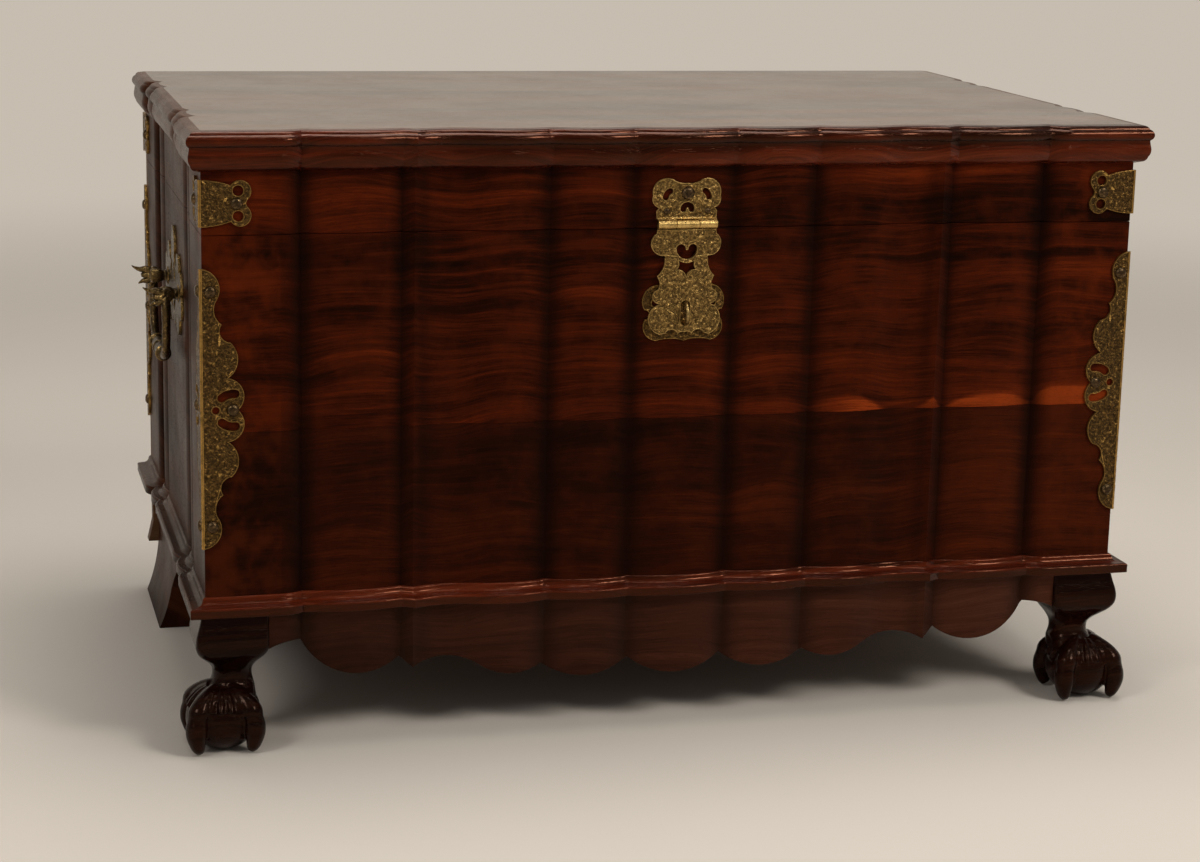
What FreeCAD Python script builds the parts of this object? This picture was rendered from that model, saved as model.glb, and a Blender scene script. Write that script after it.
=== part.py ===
import FreeCAD, Part
import math
import os
from types import SimpleNamespace
from FreeCAD import Vector, Rotation, Placement

# A serpentine-fronted hardwood chest with cast brass mounts, in millimetres.
# X runs along the front, Y from front to back, Z up. The origin is on the floor
# under the middle of the chest.

doc = FreeCAD.newDocument("chest")

# Driving dimensions
driving = {
    # case
    "case_width": 1020.0,
    "case_depth": 650.0,
    "case_bottom": 151.0,
    "board_joint": 345.0,
    "seam_height": 549.7,
    "front_thickness": 32.0,
    "side_thickness": 28.0,
    "back_thickness": 20.0,
    "bottom_thickness": 16.0,
    "bottom_rise": 10.0,
    # wave of the front and of the sides
    "front_relief": 10.0,
    "side_relief": 10.0,
    # lid
    "seam_gap": 0.3,
    "lid_height": 107.0,
    "panel_thickness": 18.0,
    "skirt_thickness": 26.0,
    # mouldings
    "nose_overhang": 15.8,
    "lid_moulding_height": 42.4,
    "base_overhang": 17.0,
    "base_height": 19.5,
    # aprons and feet
    "apron_thickness": 24.0,
    "apron_proud": 3.0,
    "apron_drop": 91.3,
    "leg_block": 66.0,
    "ball_radius": 38.0,
    "ball_height": 70.0,
    "ball_setback": 18.75,
    "talon_reach": 42.0,
    "talon_radius": 13.0,
    "side_apron_drop": 41.0,
    "rear_foot_length": 175.0,
    "rear_wing": 119.0,
    "rear_foot_thickness": 30.0,
    "rear_flare": 9.0,
    "rail_drop": 88.0,
    "rail_flare": 6.0,
    # brass
    "seat_gap": 0.2,
    "strap_thickness": 3.0,
    "strap_width": 41.0,
    "strap_head_gap": 33.2,
    "strap_foot_gap": 71.5,
    "bracket_height": 48.0,
    "bracket_width": 48.5,
    "bracket_rise": 33.0,
    "nail_radius": 6.5,
    "nail_dome": 4.0,
    "pin_nail_radius": 3.6,
    "pin_nail_dome": 2.4,
    # hasp
    "hasp_thickness": 3.5,
    "hasp_width": 75.0,
    "hanger_height": 42.0,
    "flap_height": 113.0,
    "barrel_radius": 4.8,
    "barrel_length": 65.0,
    "knuckle_length": 24.8,
    "hinge_pin_radius": 2.0,
    "running_clearance": 0.08,
    "knuckle_gap": 0.35,
    "backplate_thickness": 2.0,
    "staple_wire": 2.2,
    "staple_bend": 10.7,
    "staple_reach": 18.5,
    "staple_drop": 89.7,
    "slot_width": 10.0,
    # side handles
    "handle_drop": 103.7,
    "handle_plate": 3.0,
    "handle_span": 170.0,
    "post_spacing": 124.0,
    "post_reach": 18.0,
    "post_radius": 8.0,
    "bail_wire": 4.8,
    "bail_eye": 8.2,
    "bail_drop": 72.0,
    "bail_pin": 3.0,
    # rear hinges
    "hinge_leaf": 2.0,
    "hinge_length": 75.0,
    "hinge_spacing": 640.0,
    "hinge_barrel": 4.5,
    "hinge_leaf_depth": 16.0,
}

sheet = doc.addObject("Spreadsheet::Sheet", "sizes")
for row, (alias, value) in enumerate(driving.items(), start=1):
    sheet.set(f"A{row}", alias)
    sheet.set(f"B{row}", str(value))
    sheet.setAlias(f"B{row}", alias)
doc.recompute()
d = SimpleNamespace(**{alias: float(sheet.get(alias)) for alias in driving})

# Worked-out places
half_width = d.case_width / 2
half_depth = d.case_depth / 2
lid_bottom = d.seam_height + d.seam_gap
overrun = 3 * d.front_thickness
strap_height = d.seam_height - d.strap_head_gap - d.case_bottom - d.strap_foot_gap
strap_middle = d.case_bottom + d.strap_foot_gap + strap_height / 2
bracket_middle = lid_bottom + d.bracket_rise
staple_height = d.seam_height - d.staple_drop

pieces = []


def keep(piece, label):
    """Names a finished sub-part; the name is also its file's name."""
    piece.Label = label
    pieces.append(piece)
    return piece


def point(place):
    """A flat place as a vector in the sketch's plane."""
    return Vector(place[0], place[1], 0)


# Two corners nearer than this are one corner.
same_place = 0.002


def trace(start, steps, closed=True, facets=0):
    """Turns corners and arcs (a point passed, an end) into edges.

    With facets given, each arc becomes that many straight edges, which keeps
    small plates light.
    """
    edges = []
    here = start
    for step in steps:
        if isinstance(step[0], tuple):
            passed, end = step
            arc = Part.Arc(point(here), point(passed), point(end))
            if facets:
                stops = arc.toShape().discretize(Number=facets + 1)
                edges += [Part.LineSegment(a, b) for a, b in zip(stops, stops[1:])]
            else:
                edges.append(arc)
        else:
            end = step
            edges.append(Part.LineSegment(point(here), point(end)))
        here = end
    if closed and point(here).distanceToPoint(point(start)) > same_place:
        edges.append(Part.LineSegment(point(here), point(start)))
    return edges


def moved(steps, change):
    """Applies a change of place to every point of the steps."""
    result = []
    for step in steps:
        if isinstance(step[0], tuple):
            result.append((change(step[0]), change(step[1])))
        else:
            result.append(change(step))
    return result


def turned_back(start, steps):
    """The same line run from its end to its start."""
    stops = [start] + [step[1] if isinstance(step[0], tuple) else step for step in steps]
    back = []
    for index in range(len(steps) - 1, -1, -1):
        step = steps[index]
        if isinstance(step[0], tuple):
            back.append((step[0], stops[index]))
        else:
            back.append(stops[index])
    return stops[-1], back


def doubled(start, steps, flip):
    """A half outline joined to its mirror image, which is run first, backwards."""
    mirrored_start, mirrored = turned_back(flip(start), moved(steps, flip))
    return mirrored_start, mirrored + steps


def left_right(place):
    """A place on the other side of the upright axis."""
    return (-place[0], place[1])


def up_down(place):
    """A place on the other side of the level axis."""
    return (place[0], -place[1])


# Straight facets that stand for each round stretch of a small plate or hole.
plate_facets = 2
hole_facets = 2
slot_facets = 4
lobe_facets = 8
wire_facets = 6
# Sides of forged wire, of turned and cast round forms, and of small holes.
wire_sides = 8
turned_sides = 8


def circle(centre, radius):
    """A true circle, for round bars and the bores they turn in."""
    return [Part.Circle(point(centre), Vector(0, 0, 1), radius)]


def octagon(centre, radius):
    """An eight-sided outline round a circle, for forged wire and small holes."""
    half_turn = math.pi / wire_sides
    reach = radius / math.cos(half_turn)
    corners = []
    for number in range(wire_sides):
        turn = half_turn * (2 * number + 1)
        corners.append((centre[0] + reach * math.cos(turn), centre[1] + reach * math.sin(turn)))
    return trace(corners[0], corners[1:])


def bean(centre, middle_radius, half_width_, first, last):
    """A kidney-shaped hole: a bent slot round a centre, between two angles."""
    def at(radius, angle):
        turn = math.radians(angle)
        return (centre[0] + radius * math.cos(turn), centre[1] + radius * math.sin(turn))

    middle = (first + last) / 2
    reach = math.degrees(half_width_ / middle_radius)
    inner = middle_radius - half_width_
    outer = middle_radius + half_width_
    steps = [
        (at(outer, middle), at(outer, last)),
        (at(middle_radius, last + reach), at(inner, last)),
        (at(inner, middle), at(inner, first)),
        (at(middle_radius, first - reach), at(outer, first)),
    ]
    return trace(at(outer, first), steps, facets=hole_facets)


def rectangle(low, high):
    """A rectangle between two opposite corners."""
    return trace(low, [(high[0], low[1]), high, (low[0], high[1])])


# Wave of the front, from its middle to its corner: shares of the half width and
# of the relief. A round lobe in the middle, a round lobe, an ogee that runs into
# a sharp ridge, a round lobe and a flat end.
front_wave_start_share = (0.0, 0.0)
front_wave_shares = [
    ((0.054, 0.20), (0.108, 0.80)),
    ((0.197, 0.10), (0.286, 0.90)),
    ((0.358, 0.15), (0.440, 0.60)),
    ((0.506, 1.00), (0.569, 0.25)),
    (0.594, 1.00),
    ((0.694, 0.20), (0.800, 0.90)),
    ((0.815, 0.37), (0.845, 0.00)),
    (1.0, 0.0),
]
# Wave of the sides, from the middle to the end: a wide flat lobe, a narrow
# round one between two grooves, and a flat end.
side_wave_start_share = (0.0, 0.4)
side_wave_shares = [
    (0.30, 0.40),
    ((0.37, 0.56), (0.400, 0.95)),
    ((0.494, 0.30), (0.588, 0.95)),
    ((0.605, 0.45), (0.650, 0.00)),
    (1.0, 0.0),
]


def front_wave(offset=0.0, reach=half_width):
    """The front's line from left to right, at an offset towards the viewer."""
    def placed(share):
        along = share[0] * half_width if share[0] < 1.0 else reach
        return (along, share[1] * d.front_relief - offset)

    start = placed(front_wave_start_share)
    return doubled(start, moved(front_wave_shares, placed), left_right)


def side_wave(offset=0.0, front_end=0.0, back_end=d.case_depth):
    """The left side's line from front to back; Y is measured from the front plane."""
    def placed(share):
        return (share[1] * d.side_relief - offset, share[0] * half_depth)

    start = placed(side_wave_start_share)
    start, steps = doubled(start, moved(side_wave_shares, placed), up_down)

    def settled(place):
        return (place[0] - half_width, place[1] + half_depth)

    start, steps = settled(start), moved(steps, settled)
    start = (start[0], front_end)
    steps[-1] = (steps[-1][0], back_end)
    return start, steps


def ring_of(placing, radius, sides):
    """The corners of a regular ring round the placing's Z axis."""
    corners = []
    for number in range(sides):
        turn = 2 * math.pi * number / sides
        corners.append(placing.multVec(Vector(radius * math.cos(turn), radius * math.sin(turn), 0)))
    return corners


def skin(rings):
    """A solid of flat facets through rings that have the same number of corners."""
    def face(*corners):
        return Part.Face(Part.makePolygon(list(corners) + [corners[0]]))

    faces = [face(*rings[0]), face(*rings[-1])]
    for low, high in zip(rings, rings[1:]):
        for here in range(len(low)):
            after = (here + 1) % len(low)
            faces.append(face(low[here], low[after], high[after]))
            faces.append(face(low[here], high[after], high[here]))
    shell = Part.makeShell(faces)
    shell.sewShape()
    solid = Part.makeSolid(shell)
    if solid.Volume < 0:
        solid.reverse()
    return solid


def tube(stations, across, sides):
    """A skin round a flat line of (place, radius) stations; across is its plane's normal."""
    rings = []
    for index, (middle, radius) in enumerate(stations):
        before = stations[max(index - 1, 0)][0]
        after = stations[min(index + 1, len(stations) - 1)][0]
        lean = after - before
        turned = Rotation(across, lean.cross(across), lean, "ZXY")
        rings.append(ring_of(Placement(middle, turned), radius, sides))
    return skin(rings)


def new_body(name):
    """An empty body for sketched features."""
    return doc.addObject("PartDesign::Body", name)


def sketch_on(body, role, name, edges):
    """A sketch of the edges on one of the body's own planes."""
    sketch = body.newObject("Sketcher::SketchObject", name)
    plane = next(item for item in body.Origin.OriginFeatures if item.Role == role)
    sketch.AttachmentSupport = [(plane, "")]
    sketch.MapMode = "FlatFace"
    for edge in edges:
        sketch.addGeometry(edge, False)
    return sketch


def pad(body, role, name, edges, length, back=False, middle=False):
    """Adds a sketch's thickness; the length is an expression of the sheet."""
    sketch = sketch_on(body, role, name + "_sketch", edges)
    feature = body.newObject("PartDesign::Pad", name)
    feature.Profile = sketch
    feature.setExpression("Length", length)
    feature.Reversed = back
    feature.Midplane = middle
    sketch.Visibility = False
    doc.recompute()
    return feature


def pocket(body, role, name, edges):
    """Cuts a sketch right through the body, both ways."""
    before = body.Shape.Volume
    sketch = sketch_on(body, role, name + "_sketch", edges)
    feature = body.newObject("PartDesign::Pocket", name)
    feature.Profile = sketch
    feature.Type = "ThroughAll"
    feature.Midplane = True
    sketch.Visibility = False
    doc.recompute()
    if not feature.Shape.Volume < before:
        raise RuntimeError(f"{name} cuts nothing")
    return feature


def place(piece, across="0", along="front_plane", up="0"):
    """Binds a piece's place to the sheet; the front plane is worked out above."""
    for axis, formula in (("x", across), ("y", along), ("z", up)):
        if formula == "front_plane":
            piece.setExpression("Placement.Base." + axis, "sizes.front_plane")
        elif formula != "0":
            piece.setExpression("Placement.Base." + axis, formula)


def mirror_of(source, name, normal, through=0.0):
    """The same piece on the other side of an upright plane."""
    twin = doc.addObject("Part::Mirroring", name + "_mirror")
    twin.Source = source
    twin.Normal = normal
    twin.Base = normal * through
    doc.recompute()
    return twin


def mirrored(source, label, normal, through=0.0):
    """A finished mirror image of a sub-part."""
    return keep(mirror_of(source, label, normal, through), label)


ACROSS = Vector(1, 0, 0)
DEEP = Vector(0, 1, 0)


def wave_board(label, thickness, height, up, holes=()):
    """A board whose front face follows the wave and whose back is flat."""
    body = new_body(label + "_body")
    start, steps = front_wave()
    outline = steps + [(half_width, thickness), (-half_width, thickness)]
    pad(body, "XY_Plane", label + "_pad", trace(start, outline), height)
    if holes:
        pocket(body, "XZ_Plane", label + "_holes", holes)
    place(body, up=up)
    return keep(body, label)


def side_board(label, thickness, front_end, back_end, height, up):
    """A left side board between the front and the back; returns it and its twin."""
    body = new_body(label + "_left_body")
    start, steps = side_wave(0.0, front_end, back_end)
    inner = -half_width + thickness
    outline = steps + [(inner, back_end), (inner, front_end)]
    pad(body, "XY_Plane", label + "_left_pad", trace(start, outline), height)
    place(body, up=up)
    keep(body, label + "_left")
    return body, mirrored(body, label + "_right", ACROSS)


def plain_board(label, low, high, height, up):
    """A flat board between two corners of its plan, from a level up."""
    body = new_body(label + "_body")
    pad(body, "XY_Plane", label + "_pad", rectangle(low, high), height)
    place(body, up=up)
    return keep(body, label)


# Case
def case():
    """Front, side, back and bottom boards, then everything below them."""
    lower = "sizes.board_joint - sizes.case_bottom"
    upper = "sizes.seam_height - sizes.board_joint"
    whole = "sizes.seam_height - sizes.case_bottom"
    thick = d.front_thickness
    wave_board("front_board_lower", thick, lower, "sizes.case_bottom")
    # The staple's two legs are driven through the upper board.
    staple_up = staple_height - d.board_joint
    holes = []
    for side in (-1, 1):
        holes += octagon((0, staple_up + side * d.staple_bend), d.staple_wire + d.seat_gap)
    wave_board("front_board_upper", thick, upper, "sizes.board_joint", holes)
    back_start = d.case_depth - d.back_thickness
    side_board("side_board", d.side_thickness, d.front_thickness, back_start, whole,
               "sizes.case_bottom")
    back = plain_board("back_board", (-half_width, back_start), (half_width, d.case_depth),
                       whole, "sizes.case_bottom")
    hinge_seats(back, "back_board", d.seam_height - d.case_bottom - d.hinge_leaf)
    inner_x = half_width - d.side_thickness
    plain_board("bottom_board", (-inner_x, d.front_thickness), (inner_x, back_start),
                "sizes.bottom_thickness", "sizes.case_bottom + sizes.bottom_rise")


def hinge_seats(body, label, low):
    """Seats for the hinge leaves, from the given height up or down past the edge."""
    for side in (-1, 1):
        middle = side * d.hinge_spacing / 2
        reach = d.hinge_length / 2 + d.seat_gap
        seat = rectangle((middle - reach, low), (middle + reach, low + 2 * d.hinge_leaf))
        cut_from_back(body, f"{label}_seat_{side + 1}", seat)


def cut_from_back(body, name, edges):
    """Cuts a seat of one leaf's depth inwards from the back face."""
    sketch = sketch_on(body, "XZ_Plane", name + "_sketch", edges)
    depth = d.case_depth - d.hinge_leaf_depth
    sketch.AttachmentOffset = Placement(Vector(0, 0, -depth), Rotation())
    feature = body.newObject("PartDesign::Pocket", name)
    feature.Profile = sketch
    feature.Type = "Length"
    feature.setExpression("Length", "sizes.case_depth")
    doc.recompute()
    sketch.Visibility = False


# Mouldings: one section carried along the wave, without turning, and mitred.
# Corners of a section, in shares of its overhang and height, from its back foot up.
base_section_shares = [(1.0, 0.0), (1.0, 0.54), (0.36, 0.64), (0.0, 1.0)]
lid_section_shares = [(0.06, 0.0), (0.80, 0.25), (0.80, 0.59), (1.0, 0.72), (0.62, 0.96),
                      (0.0, 1.0)]


def moulding_section(kind):
    """The section as (overhang, height) corners from its back foot."""
    if kind == "base":
        out, tall, shares = d.base_overhang, d.base_height, base_section_shares
    else:
        out, tall, shares = d.nose_overhang, d.lid_moulding_height, lid_section_shares
    return (0.0, 0.0), moved(shares, lambda share: (share[0] * out, share[1] * tall)), out


def front_moulding(label, kind, up):
    """A moulding that follows the front's wave, mitred at both ends."""
    body = new_body(label + "_body")
    start, section, out = moulding_section(kind)
    wave_start, wave = front_wave(0.0, half_width + out)
    spine = sketch_on(body, "XY_Plane", label + "_line", trace(wave_start, wave, False))
    # In the upright plane the first axis runs backwards, so overhang is negative.
    turned = moved(section, left_right)
    profile = sketch_on(body, "YZ_Plane", label + "_section", trace(start, turned))
    sweep_along(body, label, profile, spine)
    for side in (-1, 1):
        corner = (side * half_width, 0.0)
        far = side * (half_width + 2 * out)
        edges = trace(corner, [(far, -2 * out), (far, d.front_relief)])
        pocket(body, "XY_Plane", f"{label}_mitre_{side + 1}", edges)
    place(body, up=up)
    return keep(body, label)


def sweep_along(body, label, profile, spine):
    """Runs a moulding's section along its line."""
    doc.recompute()
    pipe = body.newObject("PartDesign::AdditivePipe", label + "_sweep")
    pipe.Profile = profile
    pipe.Spine = (spine, [])
    pipe.Mode = "Fixed"
    pipe.Transition = "Transformed"
    doc.recompute()
    profile.Visibility = False
    spine.Visibility = False
    return pipe


def side_moulding(label, kind, up):
    """A moulding along the left side's wave, and its mirror image."""
    body = new_body(label + "_left_body")
    start, section, out = moulding_section(kind)
    wave_start, wave = side_wave(0.0, -out, d.case_depth)
    # The line is drawn round the middle of the side, where the section stands.
    depth_there = side_wave_start_share[1] * d.side_relief

    def from_middle(place_):
        return (place_[0], place_[1] - half_depth)

    wave_start, wave = from_middle(wave_start), moved(wave, from_middle)
    spine = sketch_on(body, "XY_Plane", label + "_line", trace(wave_start, wave, False))

    def outward(place_):
        return (-half_width + depth_there - place_[0], place_[1])

    edges = trace(outward(start), moved(section, outward))
    profile = sketch_on(body, "XZ_Plane", label + "_section", edges)
    sweep_along(body, label + "_left", profile, spine)
    corner = (-half_width, -half_depth)
    far = -half_width - 2 * out
    edges = trace(corner, [(far, -half_depth - 2 * out), (-half_width + out, -half_depth - 2 * out)])
    pocket(body, "XY_Plane", label + "_mitre", edges)
    place(body, along="sizes.front_plane + sizes.case_depth / 2", up=up)
    keep(body, label + "_left")
    return body, mirrored(body, label + "_right", ACROSS)


# Aprons: a pendant curve under each lobe, cusps under the grooves and ridges.
side_lobe_face = f"-sizes.case_width / 2 + sizes.side_relief * {side_wave_start_share[1]}"


# The pendants: shares of the half width, and of the drop below the case.
pendant_start_share = (0.0, 1.0)
pendant_shares = [
    ((0.062, 0.93), (0.102, 0.80)),
    ((0.192, 0.98), (0.292, 0.82)),
    ((0.352, 0.91), (0.425, 0.79)),
    ((0.508, 0.67), (0.569, 0.77)),
    (0.597, 0.64),
    ((0.690, 0.80), (0.804, 0.36)),
]
# The wing that runs on from the last pendant to the leg: its sag and its end.
wing_shares = (0.37, 0.44)


def front_apron():
    """A thick board that follows the front's wave, cut to the pendants below."""
    body = new_body("front_apron_body")
    reach = half_width - d.leg_block

    def placed(share):
        return (share[0] * half_width, -share[1] * d.apron_drop)

    start, steps = doubled(placed(pendant_start_share), moved(pendant_shares, placed), left_right)
    sag, low = [-share * d.apron_drop for share in wing_shares]
    passed = ((pendant_shares[-1][1][0] * half_width + reach) / 2, sag)
    cusp = left_right(placed(pendant_shares[-1][1]))
    steps = steps + [(passed, (reach, low)), (reach, 0.0), (-reach, 0.0), (-reach, low),
                     (left_right(passed), cusp)]
    deep = "sizes.apron_thickness + sizes.front_relief + sizes.apron_proud"
    pad(body, "XZ_Plane", "apron_pad", trace(start, steps), deep)
    # The pad grows forwards, so the plan is measured from its back face.
    back = d.apron_thickness + d.front_relief
    wave_start, wave = front_wave(d.apron_proud + back)
    front = -2 * back - d.front_thickness
    edges = trace(wave_start, wave + [(half_width, front), (-half_width, front)])
    pocket(body, "XY_Plane", "apron_wave", edges)
    place(body, along="sizes.front_plane + sizes.apron_thickness + sizes.front_relief",
          up="sizes.case_bottom")
    return keep(body, "front_apron")


# Depth of the side apron at its front, middle and back, in shares of its drop.
side_apron_shares = (1.0, 0.72, 1.2)


def side_apron():
    """A plain board under each side, hollowed in one long curve."""
    body = new_body("side_apron_left_body")
    begin = d.leg_block
    end = rear_foot_front() - d.rear_wing
    front, middle, back = [-share * d.side_apron_drop for share in side_apron_shares]
    steps = [
        (begin, front),
        (((begin + end) / 2, middle), (end, back)),
        (end, 0.0),
    ]
    pad(body, "YZ_Plane", "side_apron_pad", trace((begin, 0.0), steps), "sizes.apron_thickness")
    place(body, across=side_lobe_face, up="sizes.case_bottom")
    keep(body, "side_apron_left")
    return mirrored(body, "side_apron_right", ACROSS)


def rear_foot_front():
    """Where the rear foot meets the floor in front, from the front plane."""
    return d.case_depth - d.back_thickness - d.rear_foot_length


# The rear foot's underside: shares of its wing and of its height.
rear_curve_shares = ((-0.45, 0.12), (-0.10, 0.36))
# Hollow of its outer face: shares of the flare and of its height.
rear_hollow_shares = ((1.75, 0.50), (0.55, 1.0))


def rear_foot():
    """A bracket foot with a wing, hollowed and flared out towards the floor."""
    body = new_body("rear_foot_left_body")
    tall = d.case_bottom
    front = rear_foot_front()
    back = d.case_depth - d.back_thickness
    wing = front - d.rear_wing
    top = tall - side_apron_shares[-1] * d.side_apron_drop
    passed_share, neck_share = rear_curve_shares
    passed = (front + passed_share[0] * d.rear_wing, top - passed_share[1] * tall)
    neck = (front + neck_share[0] * d.rear_wing, neck_share[1] * tall)
    steps = [
        (wing, top),
        (passed, neck),
        (front, 0.0),
        (back, 0.0),
        (back, tall),
    ]
    wide = "sizes.rear_foot_thickness + sizes.rear_flare"
    pad(body, "YZ_Plane", "rear_foot_pad", trace((wing, tall), steps), wide)
    # Hollow of the outer face: flush at the top, in at the neck, out at the floor.
    passed, end = [(share[0] * d.rear_flare, share[1] * tall) for share in rear_hollow_shares]
    far = -overrun
    steps = [
        (passed, end),
        (far, tall),
        (far, 0.0),
    ]
    pocket(body, "XZ_Plane", "rear_foot_hollow", trace((0.0, 0.0), steps))
    place(body, across="-sizes.case_width / 2 - sizes.rear_flare")
    keep(body, "rear_foot_left")
    return mirrored(body, "rear_foot_right", ACROSS)


def back_rail():
    """A rail between the rear feet, whose ends spread a little at their foot."""
    body = new_body("back_rail_body")
    upright_share = 0.7
    low = -d.rail_drop
    lean = half_width + d.rail_flare
    steps = [(lean, low), (half_width, low * upright_share), (half_width, 0.0), (-half_width, 0.0),
             (-half_width, low * upright_share)]
    pad(body, "XZ_Plane", "back_rail_pad", trace((-lean, low), steps), "sizes.back_thickness")
    place(body, along="sizes.front_plane + sizes.case_depth", up="sizes.case_bottom")
    return keep(body, "back_rail")


# Front legs: a knee block, an ogee in to the neck, and a ball held by four talons.
def rounded_square(low, high, radius, height):
    """A square in plan, the same both ways, with corners cut by two facets."""
    corners = []
    steps = 2
    for quarter in range(4):
        # The corner's own centre, then its points from edge to edge.
        x = high - radius if quarter in (0, 3) else low + radius
        y = high - radius if quarter in (0, 1) else low + radius
        for step in range(steps + 1):
            turn = math.pi / 2 * (quarter + step / steps)
            corners.append(Vector(x + radius * math.cos(turn), y + radius * math.sin(turn), height))
    return corners


# How near the ball's poles its first and last bands lie, in shares of the half turn.
pole_share = 0.05


def faceted_ball(centre, radius, rise):
    """A ball of even bands that stands on its last one, cut where it would be a point."""
    bands, sides = 5, 12
    rings = []
    for band in range(bands + 1):
        turn = math.pi * (pole_share + (1 - 2 * pole_share) * band / bands)
        middle = centre - Vector(0, 0, rise * math.cos(turn))
        rings.append(ring_of(Placement(middle, Rotation()), radius * math.sin(turn), sides))
    return skin(rings)


# The block and neck, from the top down: height as a share of the leg's, then the
# outer side, the inner side and the corner's radius as shares of the block.
leg_level_shares = [
    (1.00, -0.061, 1.00, 0.061),
    (0.93, -0.100, 1.00, 0.066),
    (0.80, -0.166, 1.00, 0.090),
    (0.74, -0.148, 0.99, 0.122),
    (0.69, -0.050, 0.93, 0.170),
    (0.62, 0.100, 0.80, 0.260),
    (0.54, 0.140, 0.765, 0.288),
    (0.46, 0.115, 0.785, 0.310),
    (0.40, 0.015, 0.84, 0.360),
    (0.32, -0.110, 0.90, 0.430),
]
# A talon's way down the ball: shares of its reach, of the ball's height and of
# its own radius.
talon_shares = [
    (0.40, 1.22, 0.80),
    (0.66, 1.06, 0.90),
    (0.90, 0.83, 0.98),
    (1.00, 0.58, 1.00),
    (1.00, 0.34, 0.96),
    (0.90, 0.08, 0.56),
]


def talon(centre, side):
    """One talon of a leg, down the ball on the given side."""
    foot = Vector(centre.x, centre.y, 0)
    stations = [(foot + side * reach * d.talon_reach + Vector(0, 0, height * d.ball_height),
                 radius * d.talon_radius) for reach, height, radius in talon_shares]
    return tube(stations, side.cross(Vector(0, 0, 1)), wire_sides)


def leg_shape():
    """The left front leg, its outer corner at the case's corner in plan."""
    rings = []
    for height, outer, inner, radius in leg_level_shares:
        rings.append(rounded_square(outer * d.leg_block, inner * d.leg_block, radius * d.leg_block,
                                    height * d.case_bottom))
    rise = d.ball_height / 2
    centre = Vector(d.ball_setback, d.ball_setback, rise * math.cos(math.pi * pole_share))
    solid = skin(rings).fuse(faceted_ball(centre, d.ball_radius, rise))
    for quarter in range(4):
        turn = math.pi / 2 * (quarter + 1 / 2)
        solid = solid.fuse(talon(centre, Vector(math.cos(turn), math.sin(turn), 0)))
    wide = 4 * d.leg_block
    floor = Part.makeBox(wide, wide, wide, Vector(-wide / 2, -wide / 2, -wide))
    return solid.cut(floor).Solids[0]


def front_legs():
    """The left leg in its place, and its mirror image."""
    left = doc.addObject("Part::Feature", "front_leg_left_carved")
    left.Shape = leg_shape()
    place(left, across="-sizes.case_width / 2")
    doc.recompute()
    keep(left, "front_leg_left")
    return mirrored(left, "front_leg_right", ACROSS)


# Brass plates on the corners
strap_start_share = (0.868, 0.0)
strap_shares = [
    ((1.030, 0.112), (0.622, 0.228)),
    ((0.880, 0.354), (0.695, 0.480)),
    ((0.459, 0.524), (0.478, 0.609)),
    ((0.305, 0.680), (0.341, 0.772)),
    ((0.434, 0.871), (0.0, 1.0)),
]
# The strap's slots bend round its middle nail: their ring and half width, then
# the small hole's place and radius, in shares of the strap's width.
strap_hole_shares = (0.42, 0.10, 0.31, 0.095)
strap_slot_angles = (88, 132)
# The bracket's two holes: across, up and down, and radius.
bracket_hole_shares = (0.77, 0.27, 0.105)
# Nails on each leaf, as shares of its width and height.
strap_nail_shares = [(0.74, 0.0), (0.20, 0.42), (0.20, -0.42)]
bracket_nail_shares = [(0.74, 0.0)]
bracket_start_share = (0.935, 0.0)
bracket_shares = [
    ((0.955, 0.11), (1.0, 0.22)),
    ((0.95, 0.90), (0.62, 0.77)),
    ((0.40, 0.90), (0.0, 1.0)),
]


def corner_plate(label, start_share, shares, wide, tall, holes, up):
    """A plate bent round the left front corner, the same on both leaves."""
    body = new_body(label + "_body")
    lift = d.seat_gap
    outer = lift + d.strap_thickness

    def placed(share):
        return (share[0] * wide, share[1] * tall / 2)

    start, steps = doubled(placed(start_share), moved(shares, placed), up_down)
    bend = -lift - d.strap_thickness / 2
    steps = steps + [(bend, tall / 2), (bend, -tall / 2)]
    edges = trace(start, steps, facets=plate_facets)
    for plane, back in (("XZ_Plane", False), ("YZ_Plane", True)):
        leaf = pad(body, plane, label + "_leaf_" + plane[0], edges, "sizes.strap_thickness", back)
        leaf.Profile[0].AttachmentOffset = Placement(Vector(0, 0, -lift if back else lift),
                                                     Rotation())
    doc.recompute()
    # The bend itself: a quarter round up the corner.
    middle = -lift - d.strap_thickness * math.sqrt(0.5)
    round_edge = trace((-lift, -outer), [((middle, middle), (-outer, -lift)), (-lift, -lift)],
                       facets=plate_facets)
    sketch = sketch_on(body, "XY_Plane", label + "_bend_sketch", round_edge)
    sketch.AttachmentOffset = Placement(Vector(0, 0, -tall / 2), Rotation())
    corner = body.newObject("PartDesign::Pad", label + "_bend")
    corner.Profile = sketch
    corner.Length = tall
    doc.recompute()
    for plane in ("XZ_Plane", "YZ_Plane"):
        leaf_holes(body, plane, label + "_holes_" + plane[0], holes)
    place(body, across="-sizes.case_width / 2", up=up)
    return body


def leaf_holes(body, plane, name, edges):
    """Pierces one leaf only, by a cut that reaches little further than its thickness."""
    sketch = sketch_on(body, plane, name + "_sketch", edges)
    feature = body.newObject("PartDesign::Pocket", name)
    feature.Profile = sketch
    feature.Midplane = True
    feature.setExpression("Length", "4 * sizes.strap_thickness")
    before = body.Shape.Volume
    doc.recompute()
    if not feature.Shape.Volume < before:
        raise RuntimeError(f"{name} pierces nothing")
    sketch.Visibility = False


def four_corners(body, label):
    """The left front plate and its mirror images on the other three corners."""
    right = mirror_of(body, label + "_right", ACROSS)
    rear = mirror_of(body, label + "_rear", DEEP, middle_plane)
    rear_right = mirror_of(rear, label + "_rear_right", ACROSS)
    group = doc.addObject("Part::Compound", label + "_group")
    group.Links = [body, right, rear, rear_right]
    doc.recompute()
    return keep(group, label)


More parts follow.
